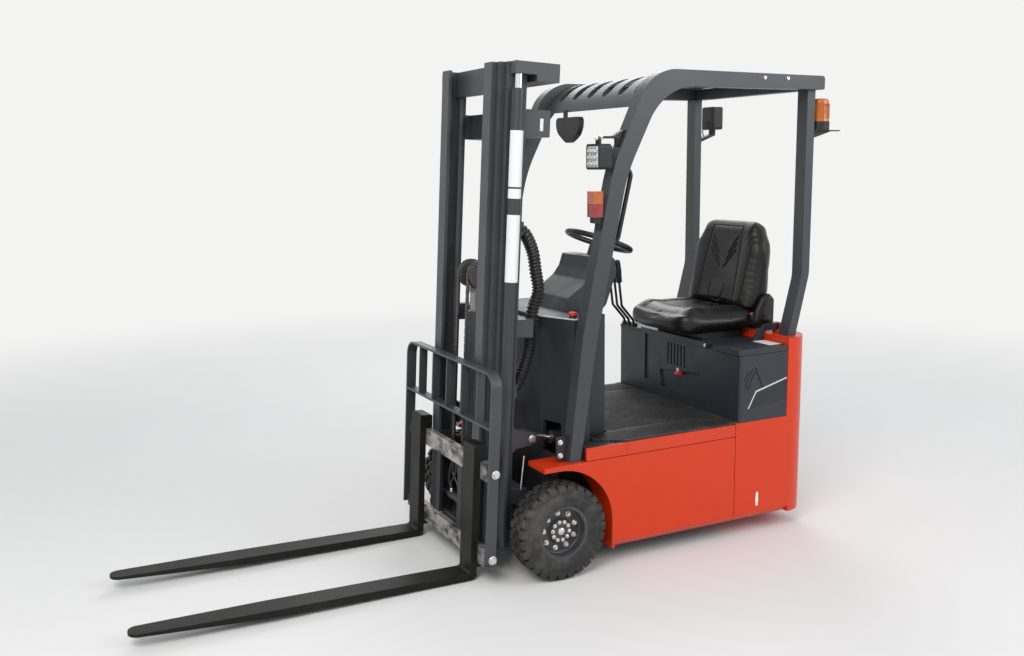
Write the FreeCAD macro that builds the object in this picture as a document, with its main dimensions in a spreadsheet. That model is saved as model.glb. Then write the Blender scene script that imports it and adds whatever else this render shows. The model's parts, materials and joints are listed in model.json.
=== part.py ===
import FreeCAD, Part
import math
import os
from types import SimpleNamespace

from FreeCAD import Placement, Rotation, Vector

# Compact three-wheel electric forklift with a tilting triplex mast, in millimetres.
# +X points forward to the fork tips, +Y to the driver's left, +Z up from the ground.
# Truck sizes are measured from the front axle line; mast sizes are u forward, y left
# and s up the mast, in a frame that leans back by mast_lean. Both frames are moved
# together so that the whole truck is centred on the origin.

doc = FreeCAD.newDocument("Forklift")

# Driving sizes: name, value, what it is
SIZES = [
    ("front_tyre_radius", 192, "front tyre, tread crown"),
    ("front_tyre_width", 112, "front tyre over the shoulders"),
    ("front_tyre_outer", 495, "outer shoulder of a front tyre from the middle"),
    ("bead_radius", 102, "bead seat of the front rims"),
    ("flange_radius", 120, "rim flange of the front rims"),
    ("hub_radius", 52, "front wheel hub"),
    ("stub_radius", 25, "front stub axle"),
    ("axle_radius", 38, "front axle tube"),
    ("rear_tyre_radius", 190, "drive wheel, tread crown"),
    ("rear_tyre_width", 130, "drive wheel tyre width"),
    ("wheelbase", 1000, "front axle to steering axis"),
    ("steer_clearance", 25, "arch clearance round the turning drive wheel"),
    ("turntable_radius", 118, "drive unit turntable"),
    ("turntable_height", 22, "drive unit turntable"),
    ("motor_radius", 105, "drive motor"),
    ("motor_height", 240, "drive motor"),
    ("body_half_width", 460, "side faces from the middle"),
    ("body_bottom", 75, "bottom edge of the side frames"),
    ("side_wall", 36, "side frame thickness"),
    ("side_chamfer", 26, "slanted lower edge of the side frames"),
    ("arch_radius", 238, "front wheel arch"),
    ("arch_plate", 12, "wheel arch plate thickness"),
    ("arch_inner", 330, "inner edge of the arch plate from the middle"),
    ("fender_front", 70, "fender front edge ahead of the axle"),
    ("fender_plate", 20, "fender plate thickness"),
    ("fender_rear", 107, "step seam front end behind the axle"),
    ("step_seam", 451, "seam under the red step strip"),
    ("deck_top", 505, "steel floor deck top"),
    ("seam_gap", 3, "shadow gap between body panels"),
    ("mat_thickness", 7, "rubber floor mat"),
    ("seam_setback", 148, "vertical seam ahead of the steering axis"),
    ("rear_overhang", 277, "counterweight rear face behind the steering axis"),
    ("rear_corner", 130, "counterweight corner radius"),
    ("wall_overhang", 127, "front of the raised counterweight wall behind the steering axis"),
    ("rear_wall_top", 851, "top of the raised counterweight wall"),
    ("tow_z", 430, "towing slot centre above the ground"),
    ("tow_slot", 60, "towing slot height"),
    ("tow_pin_radius", 14, "towing pin hole"),
    ("housing_top", 795, "top of the rear housing"),
    ("housing_wall", 20, "rear housing wall thickness"),
    ("housing_setback", 132, "front face of the rear housing ahead of the steering axis"),
    ("lid_thickness", 25, "seat deck lid"),
    ("battery_front", 310, "battery block front behind the axle"),
    ("battery_side_gap", 19, "between the battery block and the side frames"),
    ("battery_height", 340, "battery block"),
    ("cowl_front", 52, "cowl front face behind the axle"),
    ("cowl_front_half_width", 200, "flat part of the cowl front"),
    ("cowl_half_width", 365, "cowl at the guard legs"),
    ("cowl_rear", 300, "cowl rear face behind the axle"),
    ("cowl_rear_half_width", 300, "cowl beside the footwell"),
    ("frame_plate", 12, "frame floor plate"),
    ("frame_bottom", 88, "frame floor plate underside"),
    ("cowl_bottom", 456, "cowl lower edge"),
    ("cowl_top", 1000, "cowl upper edge"),
    ("cowl_wall", 12, "cowl wall thickness"),
    ("guard_outer", 440, "guard side faces from the middle"),
    ("guard_width", 60, "guard section width"),
    ("guard_top", 1957, "top of the guard"),
    ("guard_depth", 64, "roof beam depth"),
    ("guard_overhang", 19, "rear end of the roof behind the counterweight"),
    ("pillar_outer", 416, "rear pillar outer face from the middle"),
    ("pillar_width", 60, "rear pillar width"),
    ("pillar_depth", 42, "rear pillar depth"),
    ("pillar_foot", 160, "foot of the rear pillars behind the steering axis"),
    ("pillar_head", 226, "upper part of the rear pillars behind the steering axis"),
    ("roof_sheet", 6, "roof sheet thickness"),
    ("roof_bend", 200, "radius of the roof sheet's front bend"),
    ("mast_lean", 3.2, "mast lean to the rear at rest, degrees"),
    ("rail_front", 267, "front plane of the inner mast rails"),
    ("rail_outer", 232, "outer face of the inner mast rails"),
    ("rail_depth", 80, "mast rail depth"),
    ("rail_wide", 30, "step in width from stage to stage"),
    ("rail_back", 20, "step in depth from stage to stage"),
    ("rail_web", 12, "mast rail web"),
    ("rail_flange", 14, "mast rail flange"),
    ("rail_bottom", 75, "lower end of the mast rails"),
    ("rail_top", 1968, "upper end of the mast rails"),
    ("lift_radius", 25, "lift cylinder barrel"),
    ("lift_rod_radius", 14, "lift cylinder rod"),
    ("free_radius", 35, "free lift cylinder barrel"),
    ("free_rod_radius", 20, "free lift cylinder rod"),
    ("pulley_radius", 50, "chain pulley"),
    ("pulley_width", 28, "chain pulley"),
    ("running_gap", 0.4, "radial gap of rods, pins and stubs"),
    ("bar_front", 300, "front face of the fork bars"),
    ("bar_depth", 27, "fork bar depth"),
    ("bar_height", 70, "fork bar height"),
    ("bar_bottom", 56, "lower edge of the lower fork bar"),
    ("bar_pitch", 337, "fork bar spacing, edge to edge"),
    ("bar_half_length", 380, "fork bars from the middle"),
    ("fork_thickness", 28, "fork shank and blade"),
    ("fork_width", 100, "fork width"),
    ("fork_length", 1250, "fork blade ahead of the shank"),
    ("fork_droop", 1.9, "fork blade below square to the shank, degrees"),
    ("fork_tip_width", 72, "fork blade at the rounded tip"),
    ("fork_centre", 272, "fork centre from the middle"),
    ("fork_bottom", -15, "blade underside in the mast frame"),
    ("rest_half_width", 430, "load backrest frame"),
    ("rest_top", 819, "top of the load backrest"),
    ("rest_bar", 602, "backrest lower cross bar"),
    ("rest_depth", 43, "backrest flat bar depth"),
    ("rest_plate", 9, "backrest flat bar thickness"),
    ("pivot_x", 85, "mast pivot ahead of the axle"),
    ("pivot_z", 185, "mast pivot above the ground"),
    ("pivot_radius", 20, "mast pivot pin"),
    ("tilt_y", 260, "tilt cylinders from the middle"),
    ("tilt_front_x", 30, "tilt rod eye ahead of the axle"),
    ("tilt_front_z", 525, "tilt rod eye above the ground"),
    ("tilt_rear_x", 262, "tilt barrel pin behind the axle"),
    ("tilt_rear_z", 487, "tilt barrel pin above the ground"),
    ("tilt_radius", 27, "tilt cylinder barrel"),
    ("tilt_rod_radius", 14, "tilt cylinder rod"),
    ("tilt_pin_radius", 11, "tilt cylinder pins"),
    ("steering_x", 458, "steering wheel centre behind the axle"),
    ("steering_z", 1268, "steering wheel centre above the ground"),
    ("steering_rake", 20, "steering wheel rake, degrees"),
    ("steering_radius", 140, "steering wheel rim"),
    ("steering_rim", 12, "steering wheel rim section radius"),
    ("seat_half_width", 235, "seat cushion"),
    ("seat_setback", 250, "cushion front ahead of the steering axis"),
    ("seat_bottom", 857, "cushion underside"),
    ("seat_height", 90, "cushion height"),
    ("seat_back_top", 1335, "top of the seat back"),
    ("beacon_offset", 56, "beacon centre behind the rear pillar"),
    ("beacon_radius", 40, "beacon lens"),
    ("beacon_height", 96, "beacon lens"),
    ("beacon_foot", 36, "beacon base"),
    ("shelf_length", 172, "beacon shelf behind the rear pillar"),
    ("shelf_drop", 229, "beacon shelf top below the guard's top"),
    ("lamp_size", 96, "square work lamps"),
    ("lamp_depth", 52, "square work lamps"),
]

sheet = doc.addObject("Spreadsheet::Sheet", "Sizes")
for row, (name, value, note) in enumerate(SIZES, start=1):
    sheet.set(f"A{row}", note)
    sheet.set(f"B{row}", str(value))
    sheet.setAlias(f"B{row}", name)
doc.recompute()
d = SimpleNamespace(**{name: float(sheet.get(name)) for name, value, note in SIZES})

# Sizes worked out from the driving ones
REAR_SEAM = "(Sizes.wheelbase - Sizes.seam_setback)"
GUARD_REAR = "(Sizes.wheelbase + Sizes.rear_overhang + Sizes.guard_overhang)"
d.rear_seam = d.wheelbase - d.seam_setback
d.housing_front = d.wheelbase - d.housing_setback
d.rear_wall_front = d.wheelbase + d.wall_overhang
d.rear_end = d.wheelbase + d.rear_overhang
d.guard_rear = d.rear_end + d.guard_overhang
d.seat_front = d.wheelbase - d.seat_setback
PILLAR_REAR = d.wheelbase + d.pillar_head + d.pillar_depth
d.shelf_reach = PILLAR_REAR + d.shelf_length
d.beacon_x = PILLAR_REAR + d.beacon_offset
d.shelf_z = d.guard_top - d.shelf_drop
STEER_REACH = math.hypot(d.rear_tyre_radius, d.rear_tyre_width / 2) + d.steer_clearance
BATTERY_REAR = d.wheelbase - STEER_REACH - 8
BATTERY_HALF = d.body_half_width - d.side_wall - d.battery_side_gap
BLADE_TOP = d.fork_bottom + d.fork_thickness
SHANK_FRONT = d.bar_front + 0.3 + d.fork_thickness
TIP = SHANK_FRONT + d.fork_length
TIP_NOSE = 11
TIP_DROP = d.fork_length * math.tan(math.radians(d.fork_droop))
LEAN = math.radians(d.mast_lean)
TIP_X = TIP * math.cos(LEAN) - (BLADE_TOP - TIP_DROP - TIP_NOSE) * math.sin(LEAN)
AXLE_X = (d.shelf_reach - TIP_X) / 2
TRUCK = Placement(Vector(AXLE_X, 0, 0), Rotation())
MAST = TRUCK * Placement(Vector(0, 0, 0), Rotation(Vector(0, 1, 0), -d.mast_lean))
UPRIGHT = Rotation()
ALONG_X = Rotation(Vector(0, 1, 0), 90)
ALONG_Y = Rotation(Vector(1, 0, 0), -90)


def named(kind, label):
    thing = doc.addObject(kind, label.title().replace("_", ""))
    thing.Label = label + "_shape"
    return thing


def place(thing, x, y, z):
    """Binds a shape's position to expressions of the sheet, or sets plain numbers."""
    for axis, value in (("x", x), ("y", y), ("z", z)):
        if isinstance(value, str):
            thing.setExpression(f"Placement.Base.{axis}", value)
        else:
            setattr(thing.Placement.Base, axis, value)
    return thing


def bind(thing, **sizes):
    """Binds a shape's own sizes to expressions of the sheet, or sets plain numbers."""
    for key, value in sizes.items():
        if isinstance(value, str):
            thing.setExpression(key, value)
        else:
            setattr(thing, key, value)
    return thing


def box(label, x_range, y_range, z_range):
    """A box between two corners, each a pair of numbers or Sizes expressions."""
    thing = named("Part::Box", label)
    for side, (low, high) in zip(("Length", "Width", "Height"), (x_range, y_range, z_range)):
        if isinstance(low, str) or isinstance(high, str):
            thing.setExpression(side, f"({high}) - ({low})")
        else:
            setattr(thing, side, high - low)
    base = Vector(*[0 if isinstance(r[0], str) else r[0] for r in (x_range, y_range, z_range)])
    thing.Placement = Placement(base, UPRIGHT)
    for axis, (low, high) in zip("xyz", (x_range, y_range, z_range)):
        if isinstance(low, str):
            thing.setExpression(f"Placement.Base.{axis}", low)
    return thing


def rod(label, radius, length, start, turn=UPRIGHT):
    """A cylinder from its start point, along Z or turned."""
    thing = named("Part::Cylinder", label)
    thing.Placement = Placement(Vector(*start), turn)
    return bind(thing, Radius=radius, Height=length)


def rounded(points):
    """Edges of a closed outline whose corners are (a, b, radius) in a flat frame."""
    corners = []
    count = len(points)
    for index, (a, b, radius) in enumerate(points):
        here = Vector(a, b, 0)
        before = Vector(*points[index - 1][:2], 0)
        after = Vector(*points[(index + 1) % count][:2], 0)
        if radius == 0:
            corners.append((here, None, here))
            continue
        back = (before - here).normalize()
        ahead = (after - here).normalize()
        half = back.getAngle(ahead) / 2
        reach = radius / math.tan(half)
        middle = here + (back + ahead).normalize() * (radius / math.sin(half) - radius)
        corners.append((here + back * reach, middle, here + ahead * reach))
    edges = []
    for index, (entry, middle, leave) in enumerate(corners):
        if middle is not None:
            edges.append(Part.Arc(entry, middle, leave))
        following = corners[(index + 1) % count][0]
        if (following - leave).Length > 1e-6:
            edges.append(Part.LineSegment(leave, following))
    return edges


def pad(label, plane, points, offset, depth):
    """A body whose sketch lies on XY, XZ or YZ. XY pads go up from offset, YZ pads
    forward from offset, XZ pads from offset towards the right-hand side."""
    body = named("PartDesign::Body", label)
    sketch = body.newObject("Sketcher::SketchObject", label.title().replace("_", "") + "Outline")
    flat = [item for item in body.Origin.OriginFeatures if item.Role == plane + "_Plane"][0]
    sketch.AttachmentSupport = [(flat, "")]
    sketch.MapMode = "FlatFace"
    sketch.addGeometry(rounded(points), False)
    thick = body.newObject("PartDesign::Pad", label.title().replace("_", "") + "Pad")
    thick.Profile = sketch
    bind(thick, Length=depth)
    body.Tip = thick
    axis = {"XY": "z", "XZ": "y", "YZ": "x"}[plane]
    place(body, **{"x": 0, "y": 0, "z": 0, axis: offset})
    if not isinstance(offset, str):
        base = {"x": 0, "y": 0, "z": 0, axis: offset}
        body.Placement = Placement(Vector(base["x"], base["y"], base["z"]), UPRIGHT)
    return body


def revolve(label, profile, centre, turn):
    """A body turned from a closed (radius, along, corner) profile about its own axis."""
    body = named("PartDesign::Body", label)
    sketch = body.newObject("Sketcher::SketchObject", label.title().replace("_", "") + "Profile")
    flat = [item for item in body.Origin.OriginFeatures if item.Role == "XZ_Plane"][0]
    sketch.AttachmentSupport = [(flat, "")]
    sketch.MapMode = "FlatFace"
    sketch.addGeometry(rounded(profile), False)
    spun = body.newObject("PartDesign::Revolution", label.title().replace("_", "") + "Turned")
    spun.Profile = sketch
    spun.ReferenceAxis = (sketch, ["V_Axis"])
    spun.Angle = 360
    body.Tip = spun
    body.Placement = Placement(Vector(*centre), turn)
    return body


def fuse(label, things):
    whole = named("Part::MultiFuse", label)
    whole.Shapes = things
    whole.Refine = True
    return whole


def cut(label, base, tools):
    """The base less its tools."""
    tool = tools[0] if len(tools) == 1 else fuse(label + "_tool", tools)
    result = named("Part::Cut", label)
    result.Base = base
    result.Tool = tool
    return result


def group(label, things):
    whole = named("Part::Compound", label)
    whole.Links = things
    return whole


def mirror(label, source):
    other = named("Part::Mirroring", label)
    other.Source = source
    other.Normal = Vector(0, 1, 0)
    other.Base = Vector(0, 0, 0)
    return other


NODES = []


def node(label, thing, frame=TRUCK):
    """A finished sub-part in the truck's or the mast's frame."""
    done = doc.addObject("Part::Compound", "Node" + label.title().replace("_", ""))
    done.Links = [thing]
    done.Placement = frame
    done.Label = label
    NODES.append(done)
    return done


def both_sides(label, thing, frame=TRUCK):
    """A left sub-part and its mirror image."""
    node(label + "_left", thing, frame)
    node(label + "_right", mirror(label + "_mirrored", thing), frame)


# Front wheels
TREAD_PITCHES = 27


def front_wheel():
    half = d.front_tyre_width / 2
    crown = d.front_tyre_radius
    seat = half - 14
    middle = d.front_tyre_outer - half
    tyre = revolve("front_tyre", [
        (d.bead_radius, -seat, 0),
        (d.flange_radius + 3, -seat, 0),
        (d.flange_radius + 6, -half + 6, 0),
        (crown - 30, -half, 0),
        (crown - 10, -half, 0),
        (crown, -half + 12, 0),
        (crown, half - 12, 0),
        (crown - 10, half, 0),
        (crown - 30, half, 0),
        (d.flange_radius + 6, half - 6, 0),
        (d.flange_radius + 3, seat, 0),
        (d.bead_radius, seat, 0)],
        (0, middle, d.front_tyre_radius), ALONG_Y)
    grooves = []
    for index in range(TREAD_PITCHES):
        for side in (1, -1):
            turn = 360 * (index + 0.25 * side) / TREAD_PITCHES
            groove = named("Part::Box", f"tread_groove_{index}_{side + 1}")
            bind(groove, Length=11, Width=0.62 * half + 1, Height=12)
            spin = Placement(Vector(0, middle, d.front_tyre_radius), Rotation(Vector(0, 1, 0), turn))
            start = 0.38 * half if side > 0 else -half - 1
            groove.Placement = spin * Placement(Vector(-5.5, start, crown - 11), UPRIGHT)
            grooves.append(groove)
    tyre = cut("front_tyre_treaded", tyre, [group("tread_grooves", grooves)])
    bore = d.stub_radius + d.running_gap
    wall = 7
    dish = 8
    rim = revolve("front_rim", [
        (bore, -40, 0),
        (d.hub_radius, -40, 4),
        (d.hub_radius, -6, 0),
        (d.bead_radius - wall, -6, 10),
        (d.bead_radius - wall, -seat, 0),
        (d.bead_radius - wall, -seat - 6, 0),
        (d.flange_radius, -seat - 6, 0),
        (d.flange_radius, -seat, 0),
        (d.bead_radius, -seat, 0),
        (d.bead_radius, seat, 0),
        (d.flange_radius, seat, 0),
        (d.flange_radius, seat + 6, 0),
        (d.bead_radius - wall, seat + 6, 0),
        (d.bead_radius - wall, dish, 10),
        (d.hub_radius, dish, 3),
        (d.hub_radius - 10, 24, 5),
        (0, 24, 0),
        (0, 14, 0),
        (bore, 14, 0)],
        (0, middle, d.front_tyre_radius), ALONG_Y)
    both_sides("front_tyre", tyre)
    both_sides("front_rim", rim)
    return middle


WHEEL_MIDDLE = front_wheel()


# Front frame: axle tube, stub axles, cross beam, mast and tilt lugs
def tilt_anchors():
    rear = Vector(-d.tilt_rear_x, d.tilt_y, d.tilt_rear_z)
    anchors = []
    for side, name in ((1, "left"), (-1, "right")):
        for place_name, offset in (("in", -20), ("out", 20)):
            anchors.append(pad(f"anchor_{name}_{place_name}", "XZ", [
                (rear.x - 22, 400, 0), (rear.x + 40, 400, 0), (rear.x + 20, rear.z + 16, 12),
                (rear.x - 22, rear.z + 16, 16)], side * d.tilt_y + offset + 6, 12))
        anchors.append(rod(f"anchor_pin_{name}", "Sizes.tilt_pin_radius", 56,
                           (rear.x, side * d.tilt_y - 28, rear.z), ALONG_Y))
    anchors.append(box("anchor_shelf", (rear.x - 22, -59), (-325, 325), (385, 401)))
    return anchors


def front_frame():
    tube_half = WHEEL_MIDDLE - 48
    stub_end = WHEEL_MIDDLE + 12
    tube = rod("axle_tube", "Sizes.axle_radius", 2 * tube_half,
               (0, -tube_half, d.front_tyre_radius), ALONG_Y)
    stubs = rod("axle_stubs", "Sizes.stub_radius", 2 * stub_end,
                (0, -stub_end, d.front_tyre_radius), ALONG_Y)
    node("front_axle", fuse("front_axle", [tube, stubs]))
    ear_inner = d.rail_outer + 2 * d.rail_wide - 34
    base = d.frame_bottom
    beam = box("frame_beam", (-60, -42), ("-Sizes.arch_inner", "Sizes.arch_inner"),
               ("Sizes.frame_bottom", "Sizes.cowl_bottom"))
    neck = box("frame_neck", ("-Sizes.arch_radius - Sizes.arch_plate", -60),
               ("-Sizes.arch_inner", "Sizes.arch_inner"),
               ("Sizes.frame_bottom", "Sizes.frame_bottom + Sizes.frame_plate"))
    tray = box("frame_tray", (f"-{REAR_SEAM}", "-Sizes.arch_radius - Sizes.arch_plate"),
               ("-Sizes.body_half_width + Sizes.side_wall", "Sizes.body_half_width - Sizes.side_wall"),
               ("Sizes.frame_bottom", "Sizes.frame_bottom + Sizes.frame_plate"))
    ears = []
    for side in (-1, 1):
        low = min(side * ear_inner, side * (ear_inner + 24))
        ears.append(pad(f"mast_ear_{'left' if side > 0 else 'right'}", "XZ", [
            (-43, base, 0), (-43, 300, 0), (60, 215, 10),
            (d.pivot_x + 32, d.pivot_z + 32, 30), (d.pivot_x + 32, d.pivot_z - 32, 30),
            (40, 130, 20)], low + 24, 24))
    axle_hole = rod("axle_passage", "Sizes.axle_radius", 800, (0, -400, d.front_tyre_radius), ALONG_Y)
    arch = rod("frame_arch", STEER_REACH, 400, (-d.wheelbase, 0, 0))
    pins = []
    for side in (-1, 1):
        start = min(side * (ear_inner - 30), side * (ear_inner + 30))
        pins.append(rod(f"mast_pin_{'left' if side > 0 else 'right'}", "Sizes.pivot_radius", 60,
                        (d.pivot_x, start, d.pivot_z), ALONG_Y))
    blank = fuse("front_frame_blank", [beam, neck, tray] + ears + pins + tilt_anchors())
    node("front_frame", cut("front_frame", blank, [axle_hole, arch]))
    return ear_inner


EAR_INNER = front_frame()

# Chassis sides, floor and counterweight
side_plate = pad("side_plate", "XZ", [
    (-d.rear_seam + d.seam_gap, d.body_bottom, 0),
    (-d.arch_radius, d.body_bottom, 0),
    (-d.arch_radius, d.step_seam - d.fender_plate, d.arch_radius - 1),
    (d.fender_front, d.step_seam - d.fender_plate, 0),
    (d.fender_front, d.step_seam, 0),
    (-d.rear_seam + d.seam_gap, d.step_seam, 0)], "Sizes.body_half_width", "Sizes.side_wall")
edge_cut = pad("side_edge_cut", "YZ", [
    (d.body_half_width + 1, d.body_bottom - 1, 0),
    (d.body_half_width - d.side_chamfer, d.body_bottom - 1, 0),
    (d.body_half_width - d.side_chamfer, d.body_bottom, 0),
    (d.body_half_width, d.body_bottom + d.side_chamfer, 0),
    (d.body_half_width + 1, d.body_bottom + d.side_chamfer, 0)], f"-{REAR_SEAM}", REAR_SEAM)
arch_lining = pad("arch_lining", "XZ", [
    (-d.arch_radius - d.arch_plate, d.body_bottom, 0),
    (-d.arch_radius, d.body_bottom, 0),
    (-d.arch_radius, d.step_seam - d.fender_plate, d.arch_radius - 1),
    (d.fender_front, d.step_seam - d.fender_plate, 0),
    (d.fender_front, d.step_seam, 0),
    (-d.arch_radius + 60, d.step_seam, 0),
    (-d.arch_radius - d.arch_plate, d.step_seam - 120, 0)],
    "Sizes.body_half_width - 1", "Sizes.body_half_width - 1 - Sizes.arch_inner")
both_sides("side_frame", fuse("side_frame", [cut("side_plate_edged", side_plate, [edge_cut]), arch_lining]))

node("battery_block", box(
    "battery", (-BATTERY_REAR, "-Sizes.battery_front"),
    (-BATTERY_HALF, BATTERY_HALF),
    ("Sizes.frame_bottom + Sizes.frame_plate",
     "Sizes.frame_bottom + Sizes.frame_plate + Sizes.battery_height")))


LEG_CLEAR = 118


def floor():
    low = d.step_seam + d.seam_gap
    outline = []
    half = d.body_half_width
    inner = d.cowl_rear_half_width + 6
    for side in (1, -1):
        corner = [(-d.rear_seam + d.seam_gap, side * half, 0), (-LEG_CLEAR, side * half, 0),
                  (-LEG_CLEAR, side * (d.cowl_half_width + 8), 0),
                  (-d.cowl_rear + 100, side * (d.cowl_half_width + 8), 0),
                  (-d.cowl_rear + 100, side * inner, 0), (-d.cowl_rear - 6, side * inner, 0)]
        outline += corner if side > 0 else corner[::-1]
    slab = pad("deck_slab", "XY", outline, "Sizes.step_seam + Sizes.seam_gap",
               "Sizes.deck_top - Sizes.step_seam - Sizes.seam_gap")
    rim = 24
    under = box("deck_hollow", (-d.rear_seam + 2 * rim, -d.cowl_rear - 2 * rim),
                (-half + rim, half - rim), (low - 1, d.deck_top - 12))
    seats = [box(f"deck_seat_{side + 1}", (-d.rear_seam + d.seam_gap, -330),
                 tuple(sorted((side * (half - d.side_wall), side * (half - 6)))), (d.step_seam, low + 1))
             for side in (1, -1)]
    node("floor_deck", cut("floor_deck", fuse("deck_blank", [slab] + seats), [under]))
    edge = half - 8
    mat = pad("mat_outline", "XY", [
        (-d.rear_seam + 5, edge, 0), (-305, edge, 20), (-d.cowl_rear + 104, 372, 20),
        (-d.cowl_rear + 104, inner + 4, 0), (-d.cowl_rear - 10, inner + 4, 0),
        (-d.cowl_rear - 10, -inner - 4, 0), (-d.cowl_rear + 104, -inner - 4, 0),
        (-d.cowl_rear + 104, -372, 20), (-305, -edge, 20), (-d.rear_seam + 5, -edge, 0)],
        "Sizes.deck_top", "Sizes.mat_thickness")
    node("floor_mat", mat)


floor()


TOW_SETBACK = 40
HINGE_X = -d.rear_wall_front - 88
HINGE_Z = d.rear_wall_top + 26
HINGE_ARMS = (("left", 300), ("right", -258))


def hinge_ears():
    ears = []
    for name, y in HINGE_ARMS:
        for step, offset in (("in", -22), ("out", 22)):
            ears.append(pad(f"hinge_ear_{name}_{step}", "XZ", [
                (HINGE_X - 16, d.rear_wall_top - 1, 0), (HINGE_X - 16, HINGE_Z + 14, 12),
                (HINGE_X + 16, HINGE_Z + 14, 12), (HINGE_X + 16, d.rear_wall_top - 1, 0)], y + offset + 6, 12))
        ears.append(rod(f"hinge_pin_{name}", 6, 56, (HINGE_X, y - 28, HINGE_Z), ALONG_Y))
    return ears


def counterweight():
    """Cast block with a well for the drive unit, a towing slot and a slanted lower edge."""
    half = d.body_half_width
    lower = pad("weight_lower", "XY", [
        (-d.rear_seam, half, 0), (-d.rear_end, half, d.rear_corner),
        (-d.rear_end, -half, d.rear_corner), (-d.rear_seam, -half, 0)],
        "Sizes.body_bottom", "Sizes.deck_top + 4 - Sizes.body_bottom")
    upper = pad("weight_upper", "XY", [
        (-d.rear_wall_front, half, 0), (-d.rear_end, half, d.rear_corner),
        (-d.rear_end, -half, d.rear_corner), (-d.rear_wall_front, -half, 0)],
        "Sizes.deck_top", "Sizes.rear_wall_top - Sizes.deck_top")
    arch_top = 2 * d.rear_tyre_radius + 20
    arch = rod("steer_arch", STEER_REACH, arch_top - d.body_bottom + 1,
               (-d.wheelbase, 0, d.body_bottom - 1))
    well = rod("motor_well", "Sizes.turntable_radius + 12", 300, (-d.wheelbase, 0, arch_top - 1))
    front_open = box("arch_mouth", (-d.rear_seam - 40, -d.rear_seam + 1), (-180, 180),
                     (d.body_bottom - 1, arch_top))
    slot_low = d.tow_z - d.tow_slot / 2
    slot = box("tow_slot", (-d.rear_end - 1, -d.rear_end + 90), (-60, 60), (slot_low, slot_low + d.tow_slot))
    pin_pocket = box("tow_pin_pocket", (-d.rear_end - 1, -d.rear_end + 70), (-28, 28),
                     (slot_low + d.tow_slot + 45, slot_low + d.tow_slot + 150))
    pin_hole = rod("tow_pin_hole", "Sizes.tow_pin_radius", d.tow_slot + 100,
                   (-d.rear_end + TOW_SETBACK, 0, slot_low - 50))
    edge_cuts = []
    for side in (1, -1):
        edge = d.side_chamfer
        edge_cuts.append(pad(f"weight_edge_cut_{side + 1}", "YZ", [
            (side * (half + 1), d.body_bottom - 1, 0), (side * (half - edge), d.body_bottom - 1, 0),
            (side * (half - edge), d.body_bottom, 0), (side * half, d.body_bottom + edge, 0),
            (side * (half + 1), d.body_bottom + edge, 0)], -d.rear_end + d.rear_corner, d.rear_end - d.rear_corner))
    node("counterweight", cut("counterweight", fuse("weight_blank", [lower, upper] + hinge_ears()),
                              [arch, well, front_open, slot, pin_pocket, pin_hole] + edge_cuts))
    return arch_top


ARCH_TOP = counterweight()


# Drive unit: fixed motor above, turning gear leg and wheel below
def drive_unit():
    carrier = ARCH_TOP + 4
    motor = rod("motor", "Sizes.motor_radius", "Sizes.motor_height",
                (-d.wheelbase, 0, carrier + d.turntable_height + 10))
    plate = rod("motor_plate", "Sizes.turntable_radius + 11.7", 10,
                (-d.wheelbase, 0, carrier + d.turntable_height))
    node("drive_motor", fuse("drive_motor", [motor, plate]))
    half = d.rear_tyre_width / 2
    table = rod("turntable", "Sizes.turntable_radius", d.turntable_height - 0.4,
                (-d.wheelbase, 0, carrier))
    neck = rod("gear_neck", 70, carrier - 2 * d.rear_tyre_radius - 4, (-d.wheelbase, 0, 2 * d.rear_tyre_radius + 6))
    bridge = box("gear_bridge", (-d.wheelbase - 60, -d.wheelbase + 60), (-half - 48, 70),
                 (2 * d.rear_tyre_radius + 6, carrier))
    leg = pad("gear_leg", "XZ", [
        (-d.wheelbase - 60, carrier, 0), (-d.wheelbase - 60, d.rear_tyre_radius - 70, 50),
        (-d.wheelbase + 60, d.rear_tyre_radius - 70, 50), (-d.wheelbase + 60, carrier, 0)],
        -half - 8, 40)
    stub = rod("drive_stub", 24, half + 8, (-d.wheelbase, -half - 8, d.rear_tyre_radius), ALONG_Y)
    node("drive_leg", fuse("drive_leg", [table, neck, bridge, leg, stub]))
    tyre = revolve("drive_tyre", [
        (120, -half, 0), (d.rear_tyre_radius - 8, -half, 6), (d.rear_tyre_radius, -half + 10, 3),
        (d.rear_tyre_radius, half - 10, 3), (d.rear_tyre_radius - 8, half, 6), (120, half, 0)],
        (-d.wheelbase, 0, d.rear_tyre_radius), ALONG_Y)
    bore = 24 + d.running_gap
    rim = revolve("drive_rim", [
        (bore, -half + 10, 0), (60, -half + 10, 4), (60, -8, 0), (108, -8, 4), (108, -half, 0),
        (120, -half, 0), (120, half, 0), (108, half, 0), (108, 8, 4), (50, 8, 4), (50, 30, 4),
        (0, 30, 0), (0, 12, 0), (bore, 12, 0)],
        (-d.wheelbase, 0, d.rear_tyre_radius), ALONG_Y)
    node("rear_tyre", tyre)
    node("rear_rim", rim)


drive_unit()


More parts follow.
